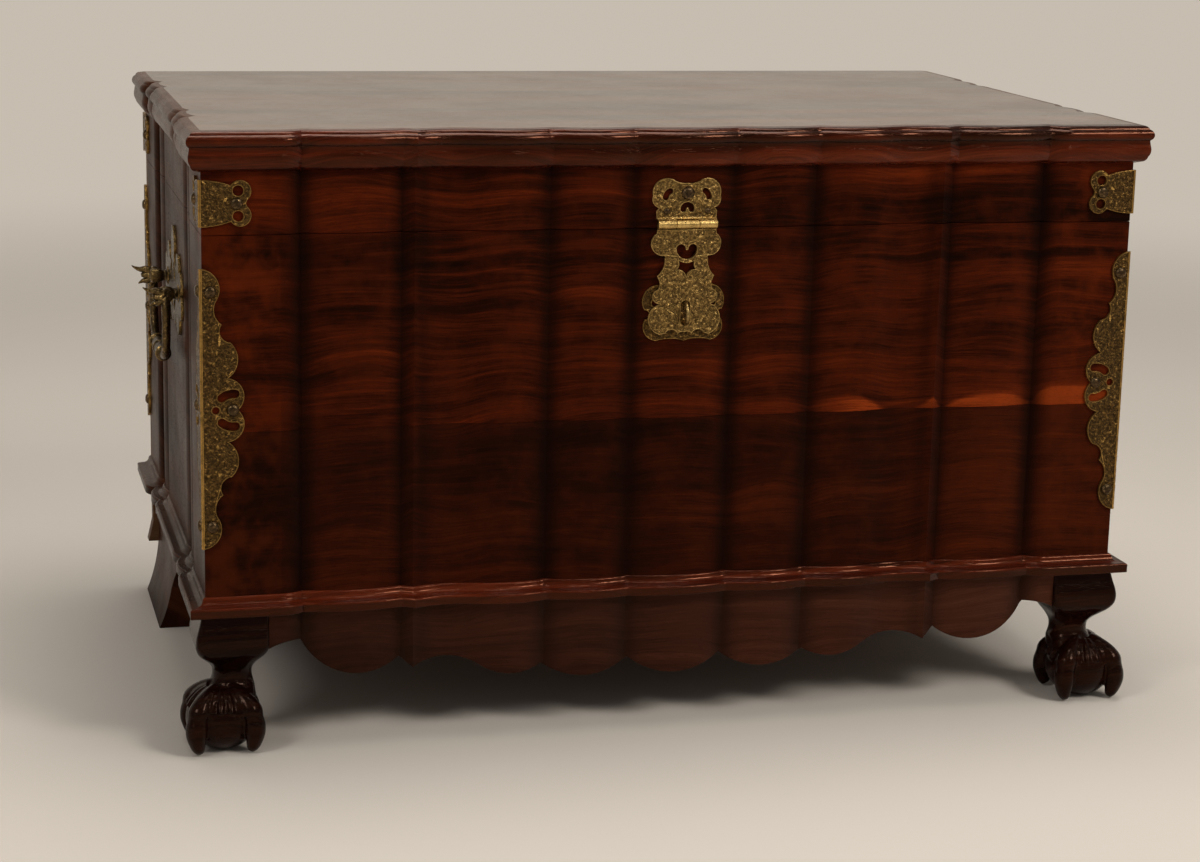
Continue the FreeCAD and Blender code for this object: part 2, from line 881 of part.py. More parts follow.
def corner_mounts():
    """The case's corner straps and the lid's corner brackets."""
    wide, tall = d.strap_width, strap_height
    eye = (strap_nail_shares[0][0] * wide, 0.0)
    ring, slot, hole_place, hole = [share * wide for share in strap_hole_shares]
    first, last = strap_slot_angles
    holes = bean(eye, ring, slot, first, last) + bean(eye, ring, slot, -last, -first)
    holes += octagon((hole_place, 0.0), hole)
    strap = corner_plate("corner_strap", strap_start_share, strap_shares, wide, tall, holes,
                         "(sizes.seam_height - sizes.strap_head_gap + sizes.case_bottom"
                         " + sizes.strap_foot_gap) / 2")
    four_corners(strap, "corner_straps")
    wide, tall = d.bracket_width, d.bracket_height
    across, up, hole = bracket_hole_shares
    holes = octagon((across * wide, up * tall), hole * wide)
    holes += octagon((across * wide, -up * tall), hole * wide)
    bracket = corner_plate("lid_bracket", bracket_start_share, bracket_shares, wide, tall, holes,
                           "sizes.seam_height + sizes.seam_gap + sizes.bracket_rise")
    four_corners(bracket, "lid_brackets")


# Dome-headed nails
nail_sides = 6
# A head's tiers: shares of its radius and of its rise.
tier_shares = [(1.0, 0.0), (0.84, 0.6), (0.40, 1.0)]


def dome(base, outward, radius, rise):
    """A forged nail's head: two tiers of facets, flat side on the plate."""
    placing = Placement(base, Rotation(Vector(0, 0, 1), outward))
    rings = []
    for width_share, height_share in tier_shares:
        lift = Placement(Vector(0, 0, rise * height_share), Rotation())
        rings.append(ring_of(placing * lift, radius * width_share, nail_sides))
    return skin(rings)


def piece_group(label, loose):
    """Loose pieces of one kind, kept as one sub-part."""
    group = doc.addObject("Part::Feature", label + "_group")
    group.Shape = Part.makeCompound(loose)
    return keep(group, label)


def corner_nails(offsets, up):
    """Heads on both leaves of all four corner plates."""
    heads = []
    lift = d.seat_gap + d.strap_thickness
    for across in (-1, 1):
        for end in (-1, 1):
            corner_y = middle_plane + end * half_depth
            for inward, height in offsets:
                base = Vector(across * (half_width - inward), corner_y + end * lift, up + height)
                heads.append(dome(base, Vector(0, end, 0), d.nail_radius, d.nail_dome))
                base = Vector(across * (half_width + lift), corner_y - end * inward, up + height)
                heads.append(dome(base, Vector(across, 0, 0), d.nail_radius, d.nail_dome))
    return heads


def all_nails():
    """The nails of the case's straps, then those of the lid."""
    offsets = [(across * d.strap_width, up * strap_height) for across, up in strap_nail_shares]
    piece_group("case_nails", corner_nails(offsets, strap_middle))
    offsets = [(across * d.bracket_width, up * d.bracket_height)
               for across, up in bracket_nail_shares]
    heads = corner_nails(offsets, bracket_middle)
    piece_group("lid_nails", heads + hanger_nails())


# Hasp: plates cast to the curve of the middle lobe, pierced, with a barrel hinge.
barrel_forward = d.barrel_radius + d.seat_gap / 2
hasp_axis = d.seam_height + d.barrel_radius + d.seam_gap + d.seat_gap
lobe_half = front_wave_shares[0][1][0] * half_width
lobe_sag = front_wave_shares[0][1][1] * d.front_relief
lobe_radius = (lobe_half ** 2 + lobe_sag ** 2) / (2 * lobe_sag)

hanger_start_share = (0.0, 0.91)
hanger_shares = [
    ((0.22, 0.92), (0.39, 0.99)),
    ((0.90, 0.90), (0.98, 0.58)),
    ((0.97, 0.40), (0.81, 0.28)),
    (0.88, 0.20),
    (0.867, 0.0),
]
# The hanger's large nail and small nails: across its half width, and up its height.
hanger_nail_share = (0.0, 0.64)
hanger_pin_nail_share = (0.60, 0.20)
# Its ear slots bend round the large nail: ring and half width; then the heart's
# height, ring and half width.
ear_shares = (0.52, 0.13)
ear_angles = ((4, 26), (154, 176))
heart_shares = (0.27, 0.10, 0.085)
heart_angles = (0, 180)
flap_start_share = (0.0, 0.98)
flap_shares = [
    (0.10, 1.0),
    ((0.38, 0.94), (0.71, 1.0)),
    ((1.06, 0.83), (0.72, 0.705)),
    ((0.96, 0.63), (0.80, 0.56)),
    ((0.74, 0.50), (0.83, 0.434)),
    ((0.66, 0.36), (0.63, 0.276)),
    ((0.62, 0.255), (0.68, 0.25)),
    ((1.02, 0.14), (0.87, 0.04)),
    (0.853, 0.0),
]
# The flap's kidney: height, ring and half width, and its ends.
kidney_shares = (0.18, 0.17, 0.12)
kidney_angles = (175, 365)
# Its five-cornered star: height, and half width and half height.
star_place_shares = (0.37, 0.29, 0.075)
star_start_share = (-0.80, 1.0)
star_shares = [
    ((0.0, 0.72), (0.80, 1.0)),
    ((0.72, 0.50), (1.0, -0.15)),
    ((0.35, -0.30), (0.0, -1.10)),
    ((-0.35, -0.30), (-1.0, -0.15)),
    ((-0.72, 0.50), (-0.80, 1.0)),
]
# The backplate's height is this share of the flap's, each way from the staple.
backplate_tall_share = 0.27
# Its two side slots: ring and half width.
backplate_slot_shares = (0.88, 0.10)
backplate_slot_angles = ((18, 42), (138, 162))
backplate_start_share = (0.0, -1.0)
backplate_shares = [
    ((0.50, -0.88), (0.80, -1.0)),
    ((1.16, -0.68), (1.12, -0.25)),
    ((0.99, -0.08), (1.14, 0.08)),
    ((1.13, 0.78), (0.78, 0.98)),
    ((0.38, 0.86), (0.0, 1.0)),
]


def bend_to_lobe(body, name, inner, thick):
    """Leaves only what lies between two round faces that follow the lobe."""
    reach = lobe_half
    tall = overrun

    def face(offset):
        """The arc as start, passed and end, at an offset in front of the lobe."""
        radius = lobe_radius + offset
        edge_y = -offset + radius - math.sqrt(radius ** 2 - reach ** 2)
        return (-reach, edge_y), (0.0, -offset), (reach, edge_y)

    start, passed, end = face(inner + thick)
    front = trace(start, [(passed, end), (reach, -tall), (-reach, -tall)], facets=lobe_facets)
    start, passed, end = face(inner)
    back = trace(start, [(passed, end), (reach, tall), (-reach, tall)], facets=lobe_facets)
    pocket(body, "XY_Plane", name, front + back)


def barrel_piece(body, name, low, high):
    """One knuckle of the hasp's barrel, between two distances across."""
    edges = circle((-barrel_forward, 0.0), d.barrel_radius)
    sketch = sketch_on(body, "YZ_Plane", name + "_sketch", edges)
    sketch.AttachmentOffset = Placement(Vector(0, 0, low), Rotation())
    feature = body.newObject("PartDesign::Pad", name)
    feature.Profile = sketch
    feature.Length = high - low
    sketch.Visibility = False
    doc.recompute()


def pin_bore(body, name):
    """Bores the barrel for its pin, with the running clearance."""
    radius = d.hinge_pin_radius + d.running_clearance
    pocket(body, "YZ_Plane", name, circle((-barrel_forward, 0.0), radius))


def hasp_hanger():
    """The fixed upper plate, with a knuckle at each end of the barrel."""
    body = new_body("hasp_hanger_body")
    foot = d.barrel_radius + d.knuckle_gap + d.seat_gap
    wide = d.hasp_width / 2

    def placed(share):
        return (share[0] * wide, foot + share[1] * d.hanger_height)

    start, steps = placed(hanger_start_share), moved(hanger_shares, placed)
    outer = d.barrel_length / 2
    inner = d.knuckle_length / 2 + d.knuckle_gap
    steps = steps + [(outer, 0.0), (inner, 0.0), (inner, foot)]
    start, steps = doubled(start, steps, left_right)
    deep = "4 * sizes.front_relief"
    edges = trace(start, steps, facets=plate_facets)
    pad(body, "XZ_Plane", "hanger_pad", edges, deep, middle=True)
    bend_to_lobe(body, "hanger_bend", d.seat_gap, d.hasp_thickness)
    for side in (-1, 1):
        low, high = sorted((side * inner, side * outer))
        barrel_piece(body, f"hanger_knuckle_{side + 1}", low, high)
    pin_bore(body, "hanger_bore")
    ear = placed(hanger_nail_share)
    ring, slot = [share * wide for share in ear_shares]
    holes = []
    for angles in ear_angles:
        holes += bean(ear, ring, slot, *angles)
    heart, ring, slot = heart_shares
    holes += bean(placed((0.0, heart)), ring * wide, slot * wide, *heart_angles)
    pocket(body, "XZ_Plane", "hanger_holes", holes)
    place(body, up="sizes.seam_height + sizes.seam_gap + sizes.seat_gap + sizes.barrel_radius")
    return keep(body, "hasp_hanger")


def hasp_flap():
    """The swinging plate, pierced and slotted for the staple."""
    body = new_body("hasp_flap_body")
    top = -(d.barrel_radius + d.knuckle_gap + d.seat_gap)
    wide = d.hasp_width / 2

    def placed(share):
        return (share[0] * wide, top - share[1] * d.flap_height)

    start, steps = placed(flap_start_share), moved(flap_shares, placed)
    inner = d.knuckle_length / 2
    steps = steps + [(inner, top), (inner, 0.0)]
    start, steps = doubled(start, steps, left_right)
    deep = "4 * sizes.front_relief"
    edges = trace(start, steps, facets=plate_facets)
    pad(body, "XZ_Plane", "flap_pad", edges, deep, middle=True)
    stand_off = d.seat_gap + d.backplate_thickness + 2 * d.seat_gap
    bend_to_lobe(body, "flap_bend", stand_off, d.hasp_thickness)
    barrel_piece(body, "flap_knuckle", -inner, inner)
    pin_bore(body, "flap_bore")
    # A kidney, a five-cornered star and the staple's slot, from the top down.
    kidney, ring, slot = kidney_shares
    holes = bean(placed((0.0, kidney)), ring * wide, slot * wide, *kidney_angles)
    middle_share, wide_share, tall_share = star_place_shares

    def on_star(share):
        return (share[0] * wide_share * wide,
                top - (middle_share - share[1] * tall_share) * d.flap_height)

    holes += trace(on_star(star_start_share), moved(star_shares, on_star), facets=hole_facets)
    slot_middle = staple_height - hasp_axis
    slot_half = d.staple_bend + d.staple_wire + 4 * d.seat_gap
    half = d.slot_width / 2
    slot_steps = [
        (half, slot_middle + slot_half - half),
        ((0.0, slot_middle + slot_half), (-half, slot_middle + slot_half - half)),
        (-half, slot_middle - slot_half + half),
        ((0.0, slot_middle - slot_half), (half, slot_middle - slot_half + half)),
    ]
    holes += trace((half, slot_middle - slot_half + half), slot_steps, facets=slot_facets)
    pocket(body, "XZ_Plane", "flap_holes", holes)
    place(body, up="sizes.seam_height + sizes.seam_gap + sizes.seat_gap + sizes.barrel_radius")
    return keep(body, "hasp_flap")


def hasp_pin():
    """The pin of the hasp's barrel."""
    pin = doc.addObject("Part::Cylinder", "hasp_pin_rod")
    pin.setExpression("Radius", "sizes.hinge_pin_radius")
    pin.setExpression("Height", "sizes.barrel_length")
    pin.Placement = Placement(
        Vector(-d.barrel_length / 2, front_plane - barrel_forward, hasp_axis),
        Rotation(Vector(0, 1, 0), 90))
    return keep(pin, "hasp_pin")


def hasp_backplate():
    """A pierced plate on the case, behind the flap and round the staple."""
    body = new_body("hasp_backplate_body")
    wide = d.hasp_width / 2
    tall = d.flap_height * backplate_tall_share

    def placed(share):
        return (share[0] * wide, share[1] * tall)

    start, steps = doubled(placed(backplate_start_share), moved(backplate_shares, placed), left_right)
    edges = trace(start, steps, facets=plate_facets)
    pad(body, "XZ_Plane", "backplate_pad", edges, "4 * sizes.front_relief", middle=True)
    bend_to_lobe(body, "backplate_bend", d.seat_gap, d.backplate_thickness)
    ring, slot = [share * wide for share in backplate_slot_shares]
    holes = []
    for angles in backplate_slot_angles:
        holes += bean((0.0, 0.0), ring, slot, *angles)
    for side in (-1, 1):
        holes += octagon((0.0, side * d.staple_bend), d.staple_wire + d.seat_gap)
    pocket(body, "XZ_Plane", "backplate_holes", holes)
    place(body, up="sizes.seam_height - sizes.staple_drop")
    return keep(body, "hasp_backplate")


def hasp_staple():
    """A bent wire whose two legs go through the plate into the board."""
    bend = d.staple_bend
    straight = -(d.staple_reach - d.staple_wire - bend)
    inside = d.front_thickness - d.front_relief
    steps = [
        (straight, -bend),
        ((straight - bend, 0.0), (straight, bend)),
        (inside, bend),
    ]
    stations = [(place_, d.staple_wire) for place_ in stops_of((inside, -bend), steps, wire_facets)]
    staple = doc.addObject("Part::Feature", "hasp_staple_wire")
    staple.Shape = tube(stations, ACROSS, wire_sides)
    place(staple, up="sizes.seam_height - sizes.staple_drop")
    doc.recompute()
    return keep(staple, "hasp_staple")


def stops_of(start, steps, facets):
    """The corners of an open line in the upright plane across X, as places."""
    edges = trace(start, steps, False, facets)
    stops = [edges[0].StartPoint] + [edge.EndPoint for edge in edges]
    return [Vector(0, stop.x, stop.y) for stop in stops]


def hanger_nails():
    """One large head and two small ones hold the hanger."""
    foot = d.barrel_radius + d.knuckle_gap + d.seat_gap
    wide = d.hasp_width / 2
    lift = d.seat_gap + d.hasp_thickness
    heads = []

    def on_lobe(across, up):
        """A point of the hanger's front face, and the way it looks."""
        radius = lobe_radius + lift
        turn = math.asin(across / radius)
        y = front_plane + lobe_radius - radius * math.cos(turn)
        return Vector(across, y, hasp_axis + up), Vector(math.sin(turn), -math.cos(turn), 0)

    base, outward = on_lobe(0.0, foot + hanger_nail_share[1] * d.hanger_height)
    heads.append(dome(base, outward, d.nail_radius, d.nail_dome))
    across, up = hanger_pin_nail_share
    for side in (-1, 1):
        base, outward = on_lobe(side * across * wide, foot + up * d.hanger_height)
        heads.append(dome(base, outward, d.pin_nail_radius, d.pin_nail_dome))
    return heads


# Side handles: a leaf-shaped plate with two posts, and a bail that hangs from them.
handle_start_share = (0.0, -0.44)
handle_shares = [
    ((0.20, -0.50), (0.36, -0.36)),
    ((0.62, -0.58), (0.78, -0.30)),
    ((0.90, -0.34), (1.0, 0.0)),
    ((0.90, 0.30), (0.78, 0.26)),
    ((0.58, 0.50), (0.40, 0.32)),
    ((0.26, 0.30), (0.20, 0.46)),
    ((0.20, 0.64), (0.0, 0.80)),
]
# Its four piercings: ring and half width, and their ends.
handle_slot_shares = (0.30, 0.055)
handle_slot_angles = ((28, 62), (118, 152), (208, 242), (298, 332))
# The bail's line from near the middle of the grip to the eye.
bail_shares = [
    (0.60, 1.0),
    ((0.90, 0.88), (1.03, 0.56)),
    ((1.06, 0.28), (1.0, 0.0)),
]
# The grip's swelling and its two rings: shares of the arm's distance and of the wire.
grip_shares = [
    (-0.52, 1.5), (-0.50, 1.9), (-0.47, 1.9), (-0.45, 1.4),
    (0.0, 1.6), (0.45, 1.4), (0.47, 1.9), (0.50, 1.9), (0.52, 1.5),
]
# Facets of each bend of the bail.
bail_facets = 3
# Ends of the eye's boss, and half the horns' thickness, in shares of the wire.
boss_end_shares = (-0.9, 1.1)
horn_half_share = 0.7
# Two horns that point away from the chest, in shares of the eye's radius.
bail_horn_start_share = (-0.55, 0.80)
bail_horn_shares = [
    ((-1.55, 0.86), (-3.15, 1.30)),
    ((-2.35, 0.30), (-1.35, -0.45)),
    ((-1.75, -0.75), (-2.25, -1.45)),
    ((-1.35, -1.75), (-0.20, -1.90)),
    (0.35, -0.80),
]


def handle_plate():
    """The plate with its posts, once on each side."""
    body = new_body("handle_plate_left_body")
    half = d.handle_span / 2

    def placed(share):
        return (share[0] * half, share[1] * half)

    start, steps = doubled(placed(handle_start_share), moved(handle_shares, placed), left_right)
    edges = trace(start, steps, facets=plate_facets)
    pad(body, "YZ_Plane", "handle_plate_pad", edges, "sizes.handle_plate", back=True)
    posts = []
    for side in (-1, 1):
        posts += octagon((side * d.post_spacing / 2, 0.0), d.post_radius)
    reach = "sizes.post_reach + sizes.bail_pin * 2"
    pad(body, "YZ_Plane", "handle_posts", posts, reach, back=True)
    # The eyes for the bail's pins run along the plate.
    pocket(body, "XZ_Plane", "handle_eyes",
           octagon((-d.post_reach, 0.0), d.bail_pin + d.running_clearance))
    ring, slot = [share * half for share in handle_slot_shares]
    holes = []
    for angles in handle_slot_angles:
        holes += bean((0.0, 0.0), ring, slot, *angles)
    pocket(body, "YZ_Plane", "handle_piercing", holes)
    place(body, across=side_lobe_face + " - sizes.seat_gap",
          along="sizes.front_plane + sizes.case_depth / 2", up="sizes.seam_height - sizes.handle_drop")
    group = doc.addObject("Part::Compound", "handle_plates_group")
    group.Links = [body, mirror_of(body, "handle_plate_right", ACROSS)]
    doc.recompute()
    return keep(group, "handle_plates")


def bail_shape():
    """A swelling grip on two curved arms, each with a horned eye and a pin inwards."""
    wire = d.bail_wire
    eye = d.bail_eye
    arm = d.post_spacing / 2 + d.post_radius + wire + 2 * d.seat_gap
    drop = d.bail_drop
    half = moved(bail_shares, lambda share: (share[0] * arm, -share[1] * drop))
    start, steps = doubled((0.0, -drop), half, left_right)
    stations = [(place_, wire) for place_ in stops_of(start, steps, bail_facets)]
    shape = tube(stations, ACROSS, wire_sides)
    grip = [(Vector(0, share[0] * arm, -drop), share[1] * wire) for share in grip_shares]
    shape = shape.fuse(tube(grip, ACROSS, turned_sides))

    def on_eye(share):
        return (share[0] * eye, share[1] * eye)

    edges = trace(on_eye(bail_horn_start_share), moved(bail_horn_shares, on_eye), True, hole_facets)
    corners = [Vector(edge.StartPoint.x, 0, edge.StartPoint.y) for edge in edges]
    horn_face = Part.Face(Part.makePolygon(corners + corners[:1]))
    post_face = d.post_spacing / 2 - d.post_radius
    for side in (-1, 1):
        boss = [(Vector(0, side * (arm + share * wire), 0), eye) for share in boss_end_shares]
        pin = [(Vector(0, side * post_face, 0), d.bail_pin), (Vector(0, side * arm, 0), d.bail_pin)]
        leaf = horn_face.extrude(Vector(0, 2 * horn_half_share * wire, 0))
        leaf.translate(Vector(0, side * arm - horn_half_share * wire, 0))
        shape = shape.fuse([tube(boss, ACROSS, turned_sides), tube(pin, ACROSS, turned_sides), leaf])
    return shape.Solids[0] if len(shape.Solids) == 1 else shape


def handle_bail():
    """The left bail in its place, and its mirror image."""
    bail = doc.addObject("Part::Feature", "handle_bail_left_cast")
    bail.Shape = bail_shape()
    place(bail, across=side_lobe_face + " - sizes.seat_gap - sizes.post_reach",
          along="sizes.front_plane + sizes.case_depth / 2",
          up="sizes.seam_height - sizes.handle_drop")
    doc.recompute()
    keep(bail, "handle_bail_left")
    return mirrored(bail, "handle_bail_right", ACROSS)


# Rear butt hinges, let into the seam, with their barrels behind the back.
def rear_hinges():
    """Two butt hinges of three knuckles, with their pins."""
    lower, upper, pins = [], [], []
    axis = Vector(0, front_plane + d.case_depth + d.hinge_barrel + d.seat_gap, lid_bottom - d.seam_gap / 2)
    count = 3
    gap = d.knuckle_gap
    share = d.hinge_length / count
    for side in (-1, 1):
        middle = side * d.hinge_spacing / 2
        start = middle - d.hinge_length / 2
        back = front_plane + d.case_depth
        for leaf, up in ((lower, d.seam_height - d.hinge_leaf), (upper, lid_bottom)):
            plate = Part.makeBox(d.hinge_length, d.hinge_leaf_depth + d.hinge_barrel, d.hinge_leaf,
                                 Vector(start, back - d.hinge_leaf_depth, up))
            for number in range(count):
                own = (number % 2 == 0) == (leaf is lower)
                begin = start + number * share
                if own:
                    ends = [Vector(begin + gap / 2, axis.y, axis.z),
                            Vector(begin + share - gap / 2, axis.y, axis.z)]
                    knuckle = tube([(end, d.hinge_barrel) for end in ends], DEEP, turned_sides)
                    plate = plate.fuse(knuckle)
                else:
                    room = Part.makeCylinder(d.hinge_barrel + gap, share + gap,
                                             Vector(begin - gap / 2, axis.y, axis.z), ACROSS)
                    plate = plate.cut(room)
            bore = Part.makeCylinder(d.hinge_pin_radius + d.running_clearance, d.hinge_length,
                                     Vector(start, axis.y, axis.z), ACROSS)
            leaf.append(plate.cut(bore))
        pins.append(Part.makeCylinder(d.hinge_pin_radius, d.hinge_length,
                                      Vector(start, axis.y, axis.z), ACROSS))
    piece_group("hinge_leaves_lower", lower)
    piece_group("hinge_leaves_upper", upper)
    piece_group("hinge_pins", pins)


# Lid
def lid():
    """Skirts, panel and mouldings of the lid."""
    top = "sizes.seam_height + sizes.seam_gap"
    skirt = "sizes.lid_height - sizes.panel_thickness"
    wave_board("lid_skirt_front", d.skirt_thickness, skirt, top)
    back_start = d.case_depth - d.back_thickness
    side_board("lid_skirt", d.skirt_thickness, d.skirt_thickness, back_start, skirt, top)
    back = plain_board("lid_skirt_back", (-half_width, back_start), (half_width, d.case_depth),
                       skirt, top)
    hinge_seats(back, "lid_skirt_back", -d.hinge_leaf)
    panel = new_body("lid_panel_body")
    start, steps = front_wave()
    left_start, left = side_wave(0.0, 0.0, d.case_depth)
    right = moved(left, left_right)
    back_left, left_reversed = turned_back(left_start, left)
    outline = steps + right + [back_left] + left_reversed
    pad(panel, "XY_Plane", "panel_pad", trace(start, outline), "sizes.panel_thickness")
    place(panel, up="sizes.seam_height + sizes.seam_gap + sizes.lid_height - sizes.panel_thickness")
    keep(panel, "lid_panel")
    high = "sizes.seam_height + sizes.seam_gap + sizes.lid_height - sizes.lid_moulding_height"
    front_moulding("lid_moulding_front", "lid", high)
    side_moulding("lid_moulding", "lid", high)


# The front plane sits so that the feet in front and the hinges behind balance.
foot_reach = -leg_shape().BoundBox.XMin
front_plane = (foot_reach - d.case_depth - 2 * d.hinge_barrel - d.seat_gap) / 2
middle_plane = front_plane + half_depth
front_row = len(driving) + 1
sheet.set(f"A{front_row}", "front_plane")
sheet.set(f"B{front_row}", str(front_plane))
sheet.setAlias(f"B{front_row}", "front_plane")
doc.recompute()

case()
front_moulding("base_moulding_front", "base", "sizes.case_bottom")
side_moulding("base_moulding", "base", "sizes.case_bottom")
front_apron()
side_apron()
rear_foot()
back_rail()
front_legs()
corner_mounts()
hasp_hanger()
hasp_flap()
hasp_pin()
hasp_backplate()
hasp_staple()
all_nails()
handle_plate()
handle_bail()
rear_hinges()
lid()

# Checks, then one file for each sub-part
doc.recompute()
for item in doc.Objects:
    if "Invalid" in item.State or "Error" in item.State:
        raise RuntimeError(f"{item.Label} failed: {item.State}")
for piece in pieces:
    if piece.Shape.isNull() or not piece.Shape.isValid() or not piece.Shape.Solids:
        raise RuntimeError(f"{piece.Label} has no valid solid")
os.makedirs("parts", exist_ok=True)
for piece in pieces:
    piece.Shape.exportStep(os.path.join("parts", piece.Label + ".step"))
print(len(pieces), "pieces")
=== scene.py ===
from math import asin, atan2, copysign, cos, degrees, dist, exp, hypot, pi, radians, sin

import bmesh
import bpy
import numpy as np
from mathutils import Matrix, Vector, noise


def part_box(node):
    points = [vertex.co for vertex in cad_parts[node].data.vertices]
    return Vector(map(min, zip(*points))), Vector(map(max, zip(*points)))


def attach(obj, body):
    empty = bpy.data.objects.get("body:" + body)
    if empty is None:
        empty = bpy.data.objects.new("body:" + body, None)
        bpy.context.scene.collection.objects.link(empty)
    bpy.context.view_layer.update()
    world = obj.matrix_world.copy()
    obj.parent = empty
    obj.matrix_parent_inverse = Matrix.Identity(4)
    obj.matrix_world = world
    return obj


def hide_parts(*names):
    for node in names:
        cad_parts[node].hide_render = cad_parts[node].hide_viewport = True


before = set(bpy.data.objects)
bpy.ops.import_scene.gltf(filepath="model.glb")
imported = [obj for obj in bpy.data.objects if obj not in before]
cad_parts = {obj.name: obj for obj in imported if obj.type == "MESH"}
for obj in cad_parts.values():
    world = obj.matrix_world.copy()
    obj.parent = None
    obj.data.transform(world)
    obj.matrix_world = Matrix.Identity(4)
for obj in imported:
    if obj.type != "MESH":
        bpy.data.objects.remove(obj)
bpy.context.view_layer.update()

MM = 0.001
HALF, DEPTH = 510 * MM, 650 * MM  # half the case's width, and its depth
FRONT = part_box("back_board")[1].y - DEPTH
MIDDLE, BACK = FRONT + DEPTH / 2, FRONT + DEPTH
CASE_FOOT = 151 * MM  # the case's underside, on the legs and the apron
TINY = 1e-6  # places nearer than this are one
ACROSS, INWARD, UP = Vector((1, 0, 0)), Vector((0, 1, 0)), Vector((0, 0, 1))


# Lines
def arc(first, passed, last, count):
    """Points on the circle through three places, without the first."""
    (ax, ay), (bx, by), (cx, cy) = first, passed, last
    twice = 2 * (ax * (by - cy) + bx * (cy - ay) + cx * (ay - by))
    if abs(twice) < 1e-12:
        return [(ax + (cx - ax) * i / count, ay + (cy - ay) * i / count) for i in range(1, count + 1)]
    a2, b2, c2 = ax * ax + ay * ay, bx * bx + by * by, cx * cx + cy * cy
    ux = (a2 * (by - cy) + b2 * (cy - ay) + c2 * (ay - by)) / twice
    uy = (a2 * (cx - bx) + b2 * (ax - cx) + c2 * (bx - ax)) / twice
    radius = hypot(ax - ux, ay - uy)
    begin, middle, end = (atan2(y - uy, x - ux) for x, y in (first, passed, last))
    turn = (end - begin) % (2 * pi)
    if (middle - begin) % (2 * pi) > turn:
        turn -= 2 * pi
    return [(ux + radius * cos(begin + turn * i / count),
             uy + radius * sin(begin + turn * i / count)) for i in range(1, count + 1)]


def line(start, steps, count=12):
    """Corners and (passed, end) arcs as one list of places."""
    places = [start]
    for step in steps:
        if isinstance(step[0], tuple):
            places += arc(places[-1], step[0], step[1], count)
        else:
            places.append(step)
    return places


def scaled(steps, wide, tall, up=0):
    """Applies a width and a height to steps given as shares."""
    def one(place):
        return (place[0] * wide, up + place[1] * tall)
    return [(one(s[0]), one(s[1])) if isinstance(s[0], tuple) else one(s) for s in steps]


def sized(places, size):
    """Places times a size."""
    return [(x * size, y * size) for x, y in places]


def mirrored_line(half):
    """A half line made whole from left to right."""
    return [(-x, y) for x, y in reversed(half)] + half[1:]


def closed_line(half):
    """A half outline from axis to axis, closed by its mirror image."""
    return half + [(-x, y) for x, y in reversed(half[1:-1])]


def turns(count):
    """Cosine and sine of equal steps round a circle."""
    angles = [2 * pi * i / count for i in range(count)]
    return [(cos(angle), sin(angle)) for angle in angles]


def circle(centre, radius, count=24):
    """A closed round line."""
    return [(centre[0] + radius * c, centre[1] + radius * s) for c, s in turns(count)]


def bean(centre, middle, wide, first, last):
    """A kidney-shaped hole between two angles in degrees."""
    def at(radius, angle):
        turn = radians(angle)
        return (centre[0] + radius * cos(turn), centre[1] + radius * sin(turn))
    mid, reach = (first + last) / 2, degrees(wide / middle)
    steps = [(at(middle + wide, mid), at(middle + wide, last)),
             (at(middle, last + reach), at(middle - wide, last)),
             (at(middle - wide, mid), at(middle - wide, first)),
             (at(middle, first - reach), at(middle + wide, first))]
    return line(at(middle + wide, first), steps, 8)[:-1]


def area(loop):
    """A closed line's area, positive when it runs anticlockwise."""
    return sum(a[0] * b[1] - b[0] * a[1] for a, b in zip(loop, loop[1:] + loop[:1])) / 2


def spaced(places, gap=TINY):
    """Places without those that lie on top of the one before."""
    result = []
    for place in places:
        if not result or dist(place, result[-1]) > gap:
            result.append(place)
    while dist(result[0], result[-1]) < gap:
        result.pop()
    return result


def inset(loop, depth):
    """An anticlockwise closed line drawn in by a small depth."""
    result = []
    count = len(loop)
    for i in range(count):
        a, b, c = (Vector(loop[(i + k) % count]) for k in (-1, 0, 1))
        n1, n2 = (b - a).normalized(), (c - b).normalized()
        n1, n2 = Vector((-n1.y, n1.x)), Vector((-n2.y, n2.x))
        bisector = n1 + n2
        size = max(bisector.length, 0.6)
        step = bisector / size * depth * min(2 / size, 1.8)
        result.append((b.x + step.x, b.y + step.y))
    return result


def eased(points, count):
    """A smooth line through a few points of any size (Catmull-Rom)."""
    points = [np.array(p, float) for p in points]
    full = [2 * points[0] - points[1]] + points + [2 * points[-1] - points[-2]]
    result = []
    for i in range(1, len(full) - 2):
        p0, p1, p2, p3 = full[i - 1:i + 3]
        for k in range(count):
            t = k / count
            result.append(0.5 * (2 * p1 + (p2 - p0) * t + (2 * p0 - 5 * p1 + 4 * p2 - p3) * t * t
                                 + (3 * p1 - p0 - 3 * p2 + p3) * t ** 3))
    return result + [points[-1]]


# Meshes
def lofted(rings, capped=True):
    """Places and faces between rings of equal count, with caps at the ends."""
    count = len(rings[0])
    verts = [v for ring in rings for v in ring]
    faces = []
    for r in range(len(rings) - 1):
        for i in range(count):
            j = (i + 1) % count
            faces.append((r * count + i, r * count + j, (r + 1) * count + j, (r + 1) * count + i))
    if capped:
        faces.append(tuple(range(count))[::-1])
        faces.append(tuple((len(rings) - 1) * count + i for i in range(count)))
    return verts, faces


def swept(path, side, count=16, squash=1):
    """A round tube along a path of (place, radius) pairs in one plane."""
    rings = []
    for i, (place, radius) in enumerate(path):
        lean = path[min(i + 1, len(path) - 1)][0] - path[max(i - 1, 0)][0]
        up = lean.normalized().cross(side)
        rings.append([place + side * (radius * c) + up * (radius * squash * s) for c, s in turns(count)])
    return lofted(rings)


def slab(plan, low, high, edge):
    """A board with softened edges above and below."""
    loop = spaced(plan)
    if area(loop) < 0:
        loop.reverse()
    small = inset(loop, edge)
    rings = [[(x, y, z) for x, y in some] for some, z in
             ((small, low), (loop, low + edge), (loop, high - edge), (small, high))]
    return lofted(rings)


